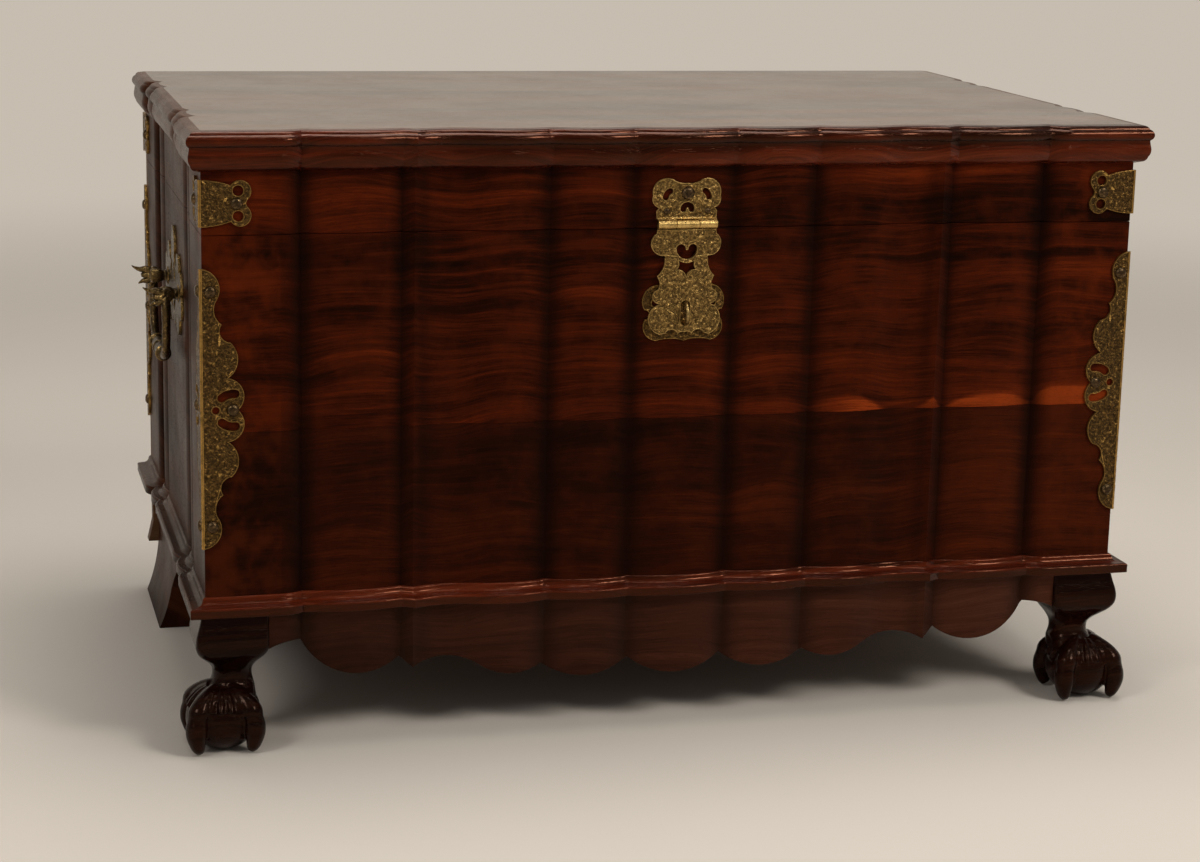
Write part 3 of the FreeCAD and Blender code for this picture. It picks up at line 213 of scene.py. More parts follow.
def cut(work, place, normal, clear=False):
    """Cuts a bmesh with a plane."""
    bmesh.ops.bisect_plane(work, geom=work.verts[:] + work.edges[:] + work.faces[:], plane_co=place,
        plane_no=normal, clear_outer=clear)


def finished(work):
    """The mesh from a bmesh, with its faces outwards."""
    bmesh.ops.recalc_face_normals(work, faces=work.faces)
    mesh = bpy.data.meshes.new("piece")
    work.to_mesh(mesh)
    work.free()
    return mesh


def together(meshes, melt=0):
    """One mesh from several, with places nearer than melt made one."""
    work = bmesh.new()
    for mesh in meshes:
        work.from_mesh(mesh)
    if melt:
        bmesh.ops.remove_doubles(work, verts=work.verts, dist=melt)
    return finished(work)


def raw_mesh(verts, faces):
    """A mesh from places and faces."""
    mesh = bpy.data.meshes.new("raw")
    mesh.from_pydata([tuple(v) for v in verts], [], faces)
    return mesh


def mesh_of(*parts):
    """A mesh from (places, faces) parts, with doubled places made one."""
    return together([raw_mesh(*part) for part in parts], TINY)


def linked(name, data):
    """A new object in the scene."""
    item = bpy.data.objects.new(name, data)
    bpy.context.scene.collection.objects.link(item)
    return item


def evaluated(holder):
    """Takes an object's mesh after its modifiers and removes the object."""
    bpy.context.view_layer.update()
    mesh = bpy.data.meshes.new_from_object(holder.evaluated_get(bpy.context.evaluated_depsgraph_get()))
    bpy.data.objects.remove(holder)
    return mesh


def taken(mesh, change):
    """Moves every place of a mesh and returns the mesh."""
    for vert in mesh.vertices:
        vert.co = change(vert.co.copy())
    return mesh


def mirrored(mesh):
    """A mesh's mirror image, left to right."""
    twin = mesh.copy()
    twin.transform(Matrix.Diagonal((-1, 1, 1, 1)))
    twin.flip_normals()
    return twin


def mark(mesh, name, values):
    """Gives every place a number that the materials read."""
    mesh.attributes.new(name, "FLOAT", "POINT").data.foreach_set("value", values)


def dress(name, mesh, materials, body, angle=35, groove=None):
    """Makes the piece that replaces a CAD node and hangs it on its body."""
    mesh.name = name
    if groove is not None:
        mark(mesh, "groove", [groove(v.co) for v in mesh.vertices])
    mesh.materials.clear()
    for material in materials:
        mesh.materials.append(material)
    mesh.shade_smooth()
    mesh.set_sharp_from_angle(angle=radians(angle))
    piece = linked(name, mesh)
    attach(piece, body)
    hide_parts(name)


# The wave of the front and the sides, as shares of the half length and of the relief
RELIEF = 10 * MM
FRONT_WAVE = [
    ((0.054, 0.2), (0.108, 0.8)), ((0.197, 0.1), (0.286, 0.9)),
    ((0.358, 0.15), (0.44, 0.6)), ((0.506, 1), (0.569, 0.25)), (0.594, 1),
    ((0.694, 0.2), (0.8, 0.9)), ((0.815, 0.37), (0.845, 0)), (1, 0)]
SIDE_START = 0.4
SIDE_WAVE = [
    (0.3, 0.4), ((0.37, 0.56), (0.4, 0.95)), ((0.494, 0.3), (0.588, 0.95)),
    ((0.605, 0.45), (0.65, 0)), (1, 0)]
front_half = line((0, 0), scaled(FRONT_WAVE, HALF, RELIEF), 14)
front_line = mirrored_line(front_half)
side_half = line((0, SIDE_START * RELIEF), scaled(SIDE_WAVE, DEPTH / 2, RELIEF), 14)
side_line = mirrored_line(side_half)
front_plan = [(x, FRONT + y) for x, y in front_line]


def left_plan(begin=FRONT, end=BACK):
    """The left side's line from front to back."""
    places = [(-HALF + depth, MIDDLE + along) for along, depth in side_line]
    return [(places[0][0], begin)] + places[1:-1] + [(places[-1][0], end)]


def shade_of(grooves, half, strength):
    """Painted shade along a wave, darkest in the grooves."""
    def at(place):
        share = abs(place) / half
        return strength * max(depth * exp(-((share - spot) / wide) ** 2)
            for spot, wide, depth in grooves)
    return at


# Place and half width as shares of the half front (side), and depth of the painted shade.
FRONT_GROOVES = ((0.108, 0.024, 1), (0.286, 0.026, 1), (0.588, 0.018, 1), (0.8, 0.026, 1),
                 (0.55, 0.018, 0.5))
SIDE_GROOVES = ((0.4, 0.03, 1), (0.588, 0.03, 1))
front_shade = shade_of(FRONT_GROOVES, HALF, 1)
side_shade = shade_of(SIDE_GROOVES, DEPTH / 2, 0.8)


# Materials
class Value:
    """A node's output; plus, minus and times make math nodes."""

    def __init__(self, shader, socket):
        self.shader, self.socket = shader, socket

    def __add__(self, other):
        return self.shader.math("ADD", self, other)

    def __sub__(self, other):
        return self.shader.math("SUBTRACT", self, other)

    def __rsub__(self, other):
        return self.shader.math("SUBTRACT", other, self)

    def __mul__(self, other):
        return self.shader.math("MULTIPLY", self, other)


class Shader:
    """A material's nodes, made by short calls."""

    def __init__(self, name):
        self.material = bpy.data.materials.new(name)
        self.material.use_nodes = True
        self.tree = self.material.node_tree
        self.tree.nodes.clear()
        out = self.tree.nodes.new("ShaderNodeOutputMaterial")
        self.bsdf = self.tree.nodes.new("ShaderNodeBsdfPrincipled")
        self.tree.links.new(self.bsdf.outputs[0], out.inputs[0])
        self.coord = self.node("TexCoord", (), "Object")

    def put(self, socket, value):
        """Links a value to a socket, or sets a number or colour on it."""
        if isinstance(value, Value):
            self.tree.links.new(value.socket, socket)
        elif value is not None:
            socket.default_value = (*value, 1) if socket.type == "RGBA" else value

    def set(self, **values):
        for key, value in values.items():
            self.put(self.bsdf.inputs[key.replace("_", " ")], value)

    def node(self, kind, inputs, output=0, **settings):
        """A new node with inputs in order or by name; gives one output."""
        node = self.tree.nodes.new("ShaderNode" + kind)
        for key, value in settings.items():
            setattr(node, key, value)
        for key, value in inputs.items() if isinstance(inputs, dict) else enumerate(inputs):
            self.put(node.inputs[key], value)
        return Value(self, node.outputs[output])

    def math(self, operation, *values):
        return self.node("Math", values, operation=operation)

    def axes(self):
        """The place's three numbers."""
        node = self.tree.nodes.new("ShaderNodeSeparateXYZ")
        self.put(node.inputs[0], self.coord)
        return [Value(self, output) for output in node.outputs]

    def join(self, x, y, z):
        return self.node("CombineXYZ", (x, y, z))

    def noise(self, vector, scale=1, detail=3, rough=0.55, distortion=0, output=0):
        return self.node("TexNoise", {"Vector": vector, "Scale": scale, "Detail": detail,
            "Roughness": rough, "Distortion": distortion}, output)

    def span(self, value, low, high, to_low=0, to_high=1, kind="SMOOTHSTEP"):
        """Carries one range over to another."""
        return self.node("MapRange", (value, low, high, to_low, to_high), interpolation_type=kind)

    def ramp(self, value, stops):
        """Colours along a value."""
        node = self.tree.nodes.new("ShaderNodeValToRGB")
        self.put(node.inputs[0], value)
        elements = node.color_ramp.elements
        while len(elements) < len(stops):
            elements.new(0.5)
        for element, (place, colour) in zip(elements, stops):
            element.position = place
            element.color = (*colour, 1)
        return Value(self, node.outputs[0])

    def mix(self, factor, a, b):
        """A colour between two, on the Mix node's colour sockets."""
        return self.node("Mix", {0: factor, 6: a, 7: b}, 2, data_type="RGBA")

    def bump(self, height, distance, strength, normal=None):
        return self.node("Bump", {"Height": height, "Distance": distance, "Strength": strength,
            "Normal": normal})

    def attribute(self, name):
        return self.node("Attribute", (), "Fac", attribute_name=name)

    def pointiness(self):
        return self.node("NewGeometry", (), "Pointiness")


def tones(*stops):
    """Ramp stops from (place, red, green, blue), colours in ten-thousandths."""
    return [(place, (r / 10000, g / 10000, b / 10000)) for place, r, g, b in stops]


def wood(name, stops, grain="x", extra=None, lean=0.8, gloss=0.3, shine=0.05, figure=24,
         streaks=1.5, edge_highlight_share=0.5, lines_share=0.62, tint=(1, 0.5, 0.32), coat=None):
    """Varnished figured wood: grain along one axis, streaks that bend with the carving, painted shade in
    hollows and grooves and painted highlights on sharp edges.
    """
    s = Shader(name)
    x, y, z = s.axes()
    along, up, deep = {"x": (x, z, y), "y": (y, z, x), "top": (x, y, z)}[grain]

    def stretched(level, sizes, detail, rough=0.55):
        """Noise with sizes along, into and across the grain."""
        return s.noise(s.join(along * sizes[0], deep * sizes[1], level * sizes[2]), 1, detail, rough)

    sway = stretched(up, (2.6, 6, 7), 2)
    level = up + (sway - 0.5) * 0.06 + deep * lean
    broad = stretched(level, (1.3, 1, figure), 4)
    lines = stretched(level, (3.5, 6, 6 * figure), 5, 0.62)
    fine = stretched(level, (26, 60, 620), 3, 0.6)
    cloud = s.noise(s.coord, 4, 2)
    tone = ((broad - 0.5) * streaks + 0.5 + (lines - 0.5) * lines_share
            + (fine - 0.5) * 0.42 + (cloud - 0.5) * 0.3)
    if extra is not None:
        tone = tone + extra(s, x, y, z)
    colour = s.ramp(tone, stops)
    pores = s.span(stretched(level, (110, 900, 1900), 2, 0.5), 0.56, 0.68)
    colour = s.mix(pores * 0.4, colour, (0.005, 0.0015, 0.0008))
    # Painted highlight: sharp convex edges are mixed toward a paler tone.
    edge_highlight = s.span(s.pointiness(), 0.52, 0.62)
    patches = s.span(s.noise(s.coord, 30), 0.38, 0.7)
    colour = s.mix(edge_highlight * patches * edge_highlight_share, colour, stops[-2][1])
    # Painted shade from the groove attribute: darkest in the grooves, the moulding's quirk and on the base
    # fascia.
    groove_shade = s.attribute("groove") * s.span(s.noise(s.coord, 9), 0.3, 0.7, 0.72, 0.92)
    colour = s.mix(groove_shade, colour, (0.0042, 0.0014, 0.0008))
    # Painted shade: concave places are mixed toward near black.
    hollow_shade = s.span(s.pointiness(), 0.485, 0.42)
    colour = s.mix(hollow_shade * 0.6, colour, (0.003, 0.0011, 0.0007))
    smear = s.noise(s.coord, 11, 4, 0.6)
    rough = s.span(smear, 0.3, 0.75, gloss, gloss + 0.12) + pores * 0.14
    normal = s.bump(s.noise(s.coord, 7, 2), 0.0025, 0.3)
    normal = s.bump(1 - pores, 0.0001, 0.45, normal)
    normal = s.bump(fine, 0.0001, 0.45, normal)
    s.set(Base_Color=colour, Roughness=rough, Normal=normal, Specular_IOR_Level=shine,
          Specular_Tint=tint)
    if coat is not None:
        s.set(Coat_Weight=coat, Coat_Roughness=0.2, Coat_IOR=1.6)
    return s.material


def brass(name, base, dark, bright, rough, stipple, rim=False):
    """Old brass: dark patina in the hollows, painted highlights on the hammered crests, edges and rim paler
    from rubbed wear and painted highlight.
    """
    s = Shader(name)
    drift = s.noise(s.coord, 60, 3, 0.6, output="Color")
    where = s.node("VectorMath", (drift, (0.004, 0.004, 0.004), s.coord), operation="MULTIPLY_ADD")
    cells = s.node("TexVoronoi", {"Vector": where, "Scale": 300}, "Distance", feature="SMOOTH_F1")
    crumbs = s.noise(s.coord, 560, 4, 0.65)
    worms = s.math("ABSOLUTE", s.noise(where, 260, 2, 0.5) - 0.5)
    field = cells * 0.6 + (crumbs * 0.35 + worms * 2)
    colour = s.mix(s.span(field, 0.3, 0.85), dark, base)
    # Painted highlight: the hammered field's crests are mixed toward the bright colour.
    colour = s.mix(s.span(field, 0.72, 0.98) * 0.55, colour, bright)
    patina = s.span(s.noise(s.coord, 85, 4, 0.6), 0.34, 0.7)
    colour = s.mix(patina * 0.3, colour, dark)
    green = s.span(s.noise(s.coord, 40), 0.56, 0.72)
    colour = s.mix(green * 0.12, colour, (0.05, 0.046, 0.02))
    # Edges and the rim are paler: rubbed wear and painted highlight.
    wear_and_highlight = s.span(s.pointiness(), 0.51, 0.6)
    strength = stipple
    if rim:
        on_rim = s.attribute("rim")
        wear_and_highlight = s.math("MAXIMUM", wear_and_highlight, on_rim * 0.45)
        strength = (1 - on_rim) * stipple
    wear_and_highlight = wear_and_highlight * s.span(s.noise(s.coord, 120, 2), 0.25, 0.6, 0.35, 1)
    colour = s.mix(wear_and_highlight, colour, bright)
    shade = s.span(field, 0.35, 0.85, rough + 0.16, rough) - wear_and_highlight * 0.08
    normal = s.bump(field, 0.0017, strength)
    normal = s.bump(s.noise(s.coord, 900), 0.0002, 0.35, normal)
    s.set(Base_Color=colour, Metallic=0.92, Roughness=shade, Normal=normal)
    return s.material


def upper_extra(s, x, y, z):
    """Dark streaks in the upper third, a painted highlight band above the joint, and painted light growing
    to the right.
    """
    inward = y - FRONT
    figure = s.noise(s.join(x * 1.9, 0, inward * 24 + z * 30), 1, 3, 0.5, 0.6)
    dark = s.span(figure, 0.5, 0.62) * s.span(z, 0.4, 0.56)
    edge = s.noise(s.join(x * 9, 0, 0)) * 0.02 + 0.356
    near = s.span(inward * 2.3 + z - edge, -0.004, 0.003, 1, 0)
    # Painted highlight: a pale band above the joint on the right half.
    joint_highlight = near * s.span(x, 0.125, 0.215) * 0.34
    # Painted light: lighter to the right and darker to the left, as if lit from the right.
    right_light = s.span(x, -0.1, 0.4) * 0.09 - 0.055
    middle = s.span(z, 0.33, 0.47, 1, 0) * 0.03
    return joint_highlight + right_light + middle - dark * 0.24


def lower_extra(s, x, y, z):
    """The lower board has painted light, lighter to the right; it is also lighter near the moulding and
    darker at its left end.
    """
    # Painted light: lighter to the right, as if lit from the right.
    right = s.span(x, 0.2, 0.36) * 0.13
    foot = s.span(z, 0.165, 0.26, 1, 0) * 0.05
    return right + foot + s.span(x, -0.43, -0.37, -0.16, -0.03)


UPPER_TONES = tones((0.2, 45, 14, 7), (0.38, 150, 28, 10), (0.52, 400, 58, 16),
    (0.66, 760, 105, 26), (0.8, 1300, 180, 36), (0.95, 2400, 360, 60))
LOWER_TONES = tones((0.2, 40, 13, 7), (0.38, 110, 25, 10), (0.52, 230, 42, 14),
    (0.68, 480, 75, 21), (0.82, 800, 130, 32), (0.95, 1300, 240, 60))
RAIL_TONES = tones((0.2, 75, 16, 7), (0.38, 250, 36, 12), (0.52, 540, 72, 21),
    (0.68, 950, 140, 42), (0.82, 1400, 240, 78), (0.95, 2000, 420, 150))
LID_TONES = tones((0.2, 140, 50, 26), (0.4, 330, 110, 50), (0.55, 560, 190, 82),
    (0.72, 860, 310, 130), (0.95, 1300, 520, 230))
SIDE_TONES = tones((0.2, 90, 26, 11), (0.4, 240, 70, 27), (0.56, 460, 138, 52), (0.95, 980, 320, 125))
LEG_TONES = tones((0.2, 20, 7, 4), (0.4, 50, 14, 7), (0.54, 105, 26, 12), (0.7, 210, 52, 22),
    (0.95, 480, 130, 55))
APRON_TONES = tones((0.2, 80, 26, 14), (0.4, 220, 62, 32), (0.56, 400, 110, 56), (0.95, 900, 290, 150))
PLAIN_TONES = tones((0.2, 300, 140, 68), (0.4, 620, 290, 130), (0.56, 980, 480, 220),
    (0.72, 1500, 780, 380), (0.95, 2000, 1150, 600))

upper_wood = wood("front_wood_upper", UPPER_TONES, extra=upper_extra, streaks=0.8)
lower_wood = wood("front_wood_lower", LOWER_TONES, extra=lower_extra, figure=20, streaks=0.6,
    lines_share=0.5)
# The lid's front is a shade darker than the board below it.
lid_front_wood = wood("lid_front_wood", UPPER_TONES, streaks=1.4,
    extra=lambda s, x, y, z: s.span(x, -0.4, 0.4, -0.07, -0.03, "LINEAR"))
rail_wood = wood("moulding_wood", RAIL_TONES, gloss=0.07, shine=0.34, figure=34, edge_highlight_share=0.35,
    tint=(1, 0.4, 0.22))
top_wood = wood("lid_top_wood", LID_TONES, grain="top", lean=0.3, gloss=0.28, shine=1, figure=20,
    tint=(1, 0.78, 0.55), coat=0.6)
side_wood = wood("side_wood", SIDE_TONES, grain="y", shine=0.03, streaks=1, tint=(1, 0.72, 0.52))
side_rail_wood = wood("side_moulding_wood", SIDE_TONES, grain="y", gloss=0.24, shine=0.1, edge_highlight_share=0.35)
# Painted light: the apron grows lighter from left to right, as if lit from the right.
apron_wood = wood("apron_wood", APRON_TONES, gloss=0.36, shine=0.16, streaks=0.6,
    extra=lambda s, x, y, z: s.span(x, -0.42, 0.42, -0.16, 0.16, "LINEAR"))
leg_wood = wood("leg_wood", LEG_TONES, gloss=0.06, shine=0.13, figure=30, streaks=0.7, edge_highlight_share=0.25,
    tint=(1, 0.62, 0.46))
plain_wood = wood("plain_wood", PLAIN_TONES, lean=0.3, gloss=0.5, shine=0.2, figure=18)

plate_brass = brass("stippled_brass", (0.29, 0.172, 0.05), (0.068, 0.038, 0.011),
    (0.72, 0.47, 0.16), 0.27, 1, rim=True)
strap_brass = brass("strap_brass", (0.132, 0.07, 0.018), (0.034, 0.018, 0.005),
    (0.46, 0.265, 0.07), 0.29, 1, rim=True)
wire_brass = brass("smooth_brass", (0.35, 0.225, 0.078), (0.12, 0.072, 0.024),
    (0.68, 0.47, 0.18), 0.24, 0.12)
handle_brass = brass("handle_brass", (0.11, 0.068, 0.026), (0.032, 0.02, 0.009),
    (0.36, 0.23, 0.08), 0.26, 0.3)
nail_brass = brass("nail_brass", (0.095, 0.056, 0.024), (0.028, 0.017, 0.008),
    (0.26, 0.165, 0.075), 0.22, 0.2)

# Boards
CASE_FRONT_THICK, CASE_SIDE_THICK, LID_THICK = 32 * MM, 28 * MM, 26 * MM
SOFT_EDGE = 0.8 * MM


def board(name, plan, material, body, edge=SOFT_EDGE, groove=None):
    """A board with the plan's outline, as high as the CAD piece."""
    low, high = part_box(name)
    dress(name, mesh_of(slab(plan, low.z, high.z, edge)), [material], body, groove=groove)


def front_board(name, thick, material, body, edge=SOFT_EDGE):
    """A board with the wave in front and a flat back."""
    plan = front_plan + [(HALF, FRONT + thick), (-HALF, FRONT + thick)]
    board(name, plan, material, body, edge, lambda p: front_shade(p.x))


def side_boards(kind, thick, material, body):
    """The left board with its wave outside, and its mirror image."""
    for side in ("left", "right"):
        name = f"{kind}_{side}"
        low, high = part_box(name)
        plan = left_plan(low.y, high.y) + [(-HALF + thick, high.y), (-HALF + thick, low.y)]
        if side == "right":
            plan = [(-x, y) for x, y in reversed(plan)]
        board(name, plan, material, body, groove=lambda p: side_shade(p.y - MIDDLE))


def lid_panel():
    """The lid's top, with the wave on three sides."""
    left = left_plan()
    plan = front_plan + [(-x, y) for x, y in left[1:]] + left[:0:-1]
    board("lid_panel", plan, top_wood, "lid", 0.05 * MM)


front_board("front_board_lower", CASE_FRONT_THICK, lower_wood, "case", 0.3 * MM)
front_board("front_board_upper", CASE_FRONT_THICK, upper_wood, "case", 0.4 * MM)
front_board("lid_skirt_front", LID_THICK, lid_front_wood, "lid")
side_boards("side_board", CASE_SIDE_THICK, side_wood, "case")
side_boards("lid_skirt", LID_THICK, side_wood, "lid")
lid_panel()

# Mouldings: a section, (distance out, height) in mm, carried along the wave
LID_SECTION = line((0, 614.6), [
    (6.8, 616.8), ((9.6, 618.6), (11.4, 622.3)), ((13.6, 628), (13.2, 634)), (12.4, 639.4),
    (12.6, 640.6), ((15.8, 645.5), (11.6, 652.6)), ((9.2, 655.6), (6, 656.3)), (0, 657)], 8)
BASE_SECTION = line((0, 151), [
    (15.6, 151), ((16.7, 151.4), (17, 152.6)), (17, 158.4), ((16.6, 160.9), (14.2, 161.6)),
    (10, 162.2), ((5.2, 163.6), (3, 167.6)), ((1.8, 169.9), (0, 170.5))], 8)
QUIRK_HEIGHT, QUIRK_WIDE, FASCIA_TOP = 641.5 * MM, 2.4 * MM, 159.5 * MM


def moulding(prefix, section, body, shade):
    """A mitred moulding in front and on both sides; shade gives its painted shade."""
    section = sized(section, MM)
    front, left = [], []
    for x, y in front_line:
        mitre = copysign(1, x) if abs(x) > HALF - TINY else 0
        front.append([(x + mitre * out, FRONT + y - out, z) for out, z in section])
    for along, depth in side_line:
        mitre = 1 if along < TINY - DEPTH / 2 else 0
        left.append([(-HALF + depth - out, MIDDLE + along - mitre * out, z) for out, z in section])
    right = [[(-x, y, z) for x, y, z in ring] for ring in left]
    for side, rings, material in (("front", front, rail_wood), ("left", left, side_rail_wood),
            ("right", right, side_rail_wood)):
        dress(f"{prefix}_{side}", mesh_of(lofted(rings)), [material], body, groove=shade)


# Painted shade in the lid moulding's quirk and on the base moulding's fascia.
moulding("lid_moulding", LID_SECTION, "lid",
         lambda p: 0.9 * exp(-((p.z - QUIRK_HEIGHT) / QUIRK_WIDE) ** 2))
moulding("base_moulding", BASE_SECTION, "case",
         lambda p: 0.75 if p.z < FASCIA_TOP else 0)

# Front apron: the wave above, a pendant curve under each lobe
DROP = 91.3 * MM
APRON_SETBACK, APRON_BACK, APRON_SOFT = 3 * MM, 34 * MM, 1.6 * MM
PENDANTS = [
    ((0.062, 0.93), (0.102, 0.8)), ((0.192, 0.98), (0.292, 0.82)), ((0.352, 0.91), (0.425, 0.79)),
    ((0.508, 0.67), (0.569, 0.77)), (0.597, 0.64), ((0.69, 0.8), (0.804, 0.36)),
    ((0.837, 0.37), (0.8706, 0.44))]


def front_apron():
    """The scalloped board under the front."""
    half = line((0, CASE_FOOT - DROP), scaled(PENDANTS, HALF, -DROP, CASE_FOOT), 16)
    reach = half[-1][0]
    stops = sorted({round(x, 6) for x, _ in half} | {round(x, 6) for x, _ in front_half if x <= reach})
    stops = [-x for x in reversed(stops)] + stops[1:]
    back = FRONT + APRON_BACK
    rings = []
    for x in stops:
        front = FRONT - APRON_SETBACK + float(np.interp(abs(x), *zip(*front_half)))
        under = float(np.interp(abs(x), *zip(*half)))
        ring = [(x, front + APRON_SOFT * a, under + APRON_SOFT * b)
                for a, b in ((1, 0), (0.29, 0.29), (0, 1))]
        rings.append([(x, back, under)] + ring + [(x, front, CASE_FOOT), (x, back, CASE_FOOT)])
    # Painted shade in the grooves, as on the front boards.
    dress("front_apron", mesh_of(lofted(rings)), [apron_wood], "case", 32,
          lambda p: 0.8 * front_shade(p.x))


front_apron()

# Front legs: the left one's numbers, in mm from the case's corner
LEG_LEVELS = [  # height, lowest and highest side in plan, corner radius
    (151, -4, 66, 4), (140, -6.6, 66, 4.4), (129, -9.8, 66, 5),
    (120, -11, 66, 6), (112, -10, 65.6, 8), (105, -6.5, 63, 11),
    (99, -1.5, 59.5, 14.5), (93, 4, 55.5, 17), (86, 8.4, 52, 18.5),
    (79, 9.4, 51, 19), (72, 8, 52, 20), (66, 4, 53.5, 21),
    (60, -2, 54, 24), (54, -7, 54, 26), (48, -8, 52, 27)]
TALON = [  # reach from the ball's middle, height, radius
    (11, 69, 5), (18.5, 65, 7), (27, 59.5, 9), (34, 53.5, 10.8), (39, 46.5, 12.2),
    (41.6, 39.5, 11), (43, 32, 12), (43.6, 24, 11.6), (42.8, 16.5, 9.8),
    (40.6, 9, 7.8), (38, 4, 5.2)]
TENDON = [(15, 67, 3.4), (24, 61.5, 3.9), (32, 54, 3.7)]
TENDON_ENDS = ((-26, 42), (-9, 47.5), (9, 47.5), (26, 42))  # degrees, lowest height
BALL_PLACE, BALL_RADIUS, BALL_SQUASH = (18.75, 18.75, 34), 39, 0.9
SKIN_VOXEL = 1.15 * MM


def rounded_square(low, high, radius, height):
    """A square ring with round corners."""
    corners = []
    for quarter in range(4):
        x = high - radius if quarter in (0, 3) else low + radius
        y = high - radius if quarter in (0, 1) else low + radius
        for step in range(9):
            turn = pi / 2 * (quarter + step / 8)
            corners.append((x + radius * cos(turn), y + radius * sin(turn), height))
    return corners


def limb(path, angle, count, squash=1):
    """A talon or tendon that runs down the ball in the upright plane at an angle."""
    turn = radians(angle)
    out = Vector((cos(turn), sin(turn), 0))
    foot = Vector((*BALL_PLACE[:2], 0)) * MM
    return swept([(foot + out * (a * MM) + UP * (b * MM), c * MM) for a, b, c in eased(path, 5)],
                 out.cross(UP), count, squash)


def leg_mesh():
    """Block, neck, ball, talons and the web over the ball, melted into one skin."""
    block = lofted([[(x * MM, y * MM, z * MM) for x, y, z in rounded_square(low, high, radius, height)]
        for height, low, high, radius in eased(LEG_LEVELS, 4)])
    middle = Vector(BALL_PLACE) * MM
    ball = bmesh.new()
    bmesh.ops.create_uvsphere(ball, u_segments=48, v_segments=32, radius=BALL_RADIUS * MM)
    bmesh.ops.scale(ball, vec=(1, 1, BALL_SQUASH), verts=ball.verts)
    parts = [block, ([v.co + middle for v in ball.verts], [[v.index for v in f.verts] for f in ball.faces])]
    ball.free()
    for quarter in range(4):
        parts.append(limb(TALON, 45 + 90 * quarter, 18, 0.92))
        for spread, low in TENDON_ENDS:
            parts.append(limb(TENDON + [(37.4, low, 2.6)], 90 * quarter + spread, 12))
    raw = linked("leg_raw", together([raw_mesh(*part) for part in parts]))
    remesh = raw.modifiers.new("skin", "REMESH")
    remesh.mode, remesh.voxel_size, remesh.adaptivity = "VOXEL", SKIN_VOXEL, 0
    smooth = raw.modifiers.new("soft", "SMOOTH")
    smooth.factor, smooth.iterations = 0.5, 2
    work = bmesh.new()
    work.from_mesh(evaluated(raw))
    cut(work, UP * 0.2 * MM, -UP, clear=True)
    bmesh.ops.holes_fill(work, edges=[e for e in work.edges if e.is_boundary], sides=0)
    return finished(work)


def front_legs():
    """The left leg and its mirror image."""
    left = leg_mesh()
    for name, mesh, x in (("left", left.copy(), -HALF), ("right", mirrored(left), HALF)):
        mesh.transform(Matrix.Translation((x, FRONT, 0)))
        dress(f"front_leg_{name}", mesh, [leg_wood], "case", 60)


front_legs()

# Brass plates
SEAT, STRAP = 0.2 * MM, 3 * MM  # gap to the wood, thickness of the straps
EDGE, RIM, SINK = 0.45 * MM, 0.35 * MM, 0.3 * MM  # a plate's rounding, bright rim, sunk field
HAMMER_MARKS = 260  # to the metre
STRAP_WIDE, STRAP_TALL, STRAP_Z = 41 * MM, 294 * MM, 369.5 * MM
BRACKET_WIDE, BRACKET_TALL, BRACKET_Z = 48.5 * MM, 48 * MM, 583 * MM


def filled(loops):
    """The flat mesh inside an outline and round its holes."""
    curve = bpy.data.curves.new("plate", "CURVE")
    curve.dimensions, curve.fill_mode = "2D", "BOTH"
    for loop in loops:
        spline = curve.splines.new("POLY")
        spline.points.add(len(loop) - 1)
        for spot, (x, y) in zip(spline.points, loop):
            spot.co = (x, y, 0, 1)
        spline.use_cyclic_u = True
    return evaluated(linked("plate", curve))


def plate(outline, holes, thick, seed, step=2 * MM, hammer=0.3 * MM):
    """A cast plate facing +Z: rounded edge, raised rim, sunk and hammered field."""
    loops = [spaced(loop, 0.15 * MM) for loop in [outline, *holes]]
    loops = [loop[::-1] if (area(loop) > 0) != (number == 0) else loop for number, loop in enumerate(loops)]
    levels = ((0, 0), (0, thick - EDGE), (EDGE * 0.3, thick - EDGE * 0.3), (EDGE, thick),
              (EDGE + RIM, thick), (EDGE + RIM + SINK, thick - SINK))
    work = bmesh.new()
    for loop in loops:
        walls = [[work.verts.new((x, y, height)) for x, y in inset(loop, depth)]
                 for depth, height in levels]
        for lower, upper in zip(walls, walls[1:]):
            for k in range(len(loop)):
                n = (k + 1) % len(loop)
                work.faces.new((lower[k], lower[n], upper[n], upper[k]))
    for depth, height in (levels[0], levels[-1]):
        flat = filled([inset(loop, depth) for loop in loops])
        flat.transform(Matrix.Translation((0, 0, height)))
        work.from_mesh(flat)
    bmesh.ops.remove_doubles(work, verts=work.verts, dist=4 * TINY)
    layer = work.verts.layers.float.new("rim")
    for vert in work.verts:
        vert[layer] = 0 if abs(vert.co.z - levels[-1][1]) < TINY else 1
    for normal, values in zip((ACROSS, INWARD), zip(*outline)):
        for number in range(1, int((max(values) - min(values)) / step) + 1):
            cut(work, normal * (min(values) + number * step), normal)
    for vert in work.verts:
        if vert[layer] < 0.5 and vert.co.z > thick / 2:
            spot = Vector((vert.co.x, vert.co.y, seed)) * HAMMER_MARKS
            vert.co.z += hammer * noise.noise(spot) + 0.5 * hammer * noise.noise(spot * 2.3)
    bmesh.ops.triangulate(work, faces=[f for f in work.faces if len(f.verts) > 4])
    return finished(work)


def solid(part, index, rim):
    """A mesh with one material number and one rim value."""
    mesh = mesh_of(part)
    mark(mesh, "rim", [rim] * len(mesh.vertices))
    mesh.polygons.foreach_set("material_index", [index] * len(mesh.polygons))
    return mesh


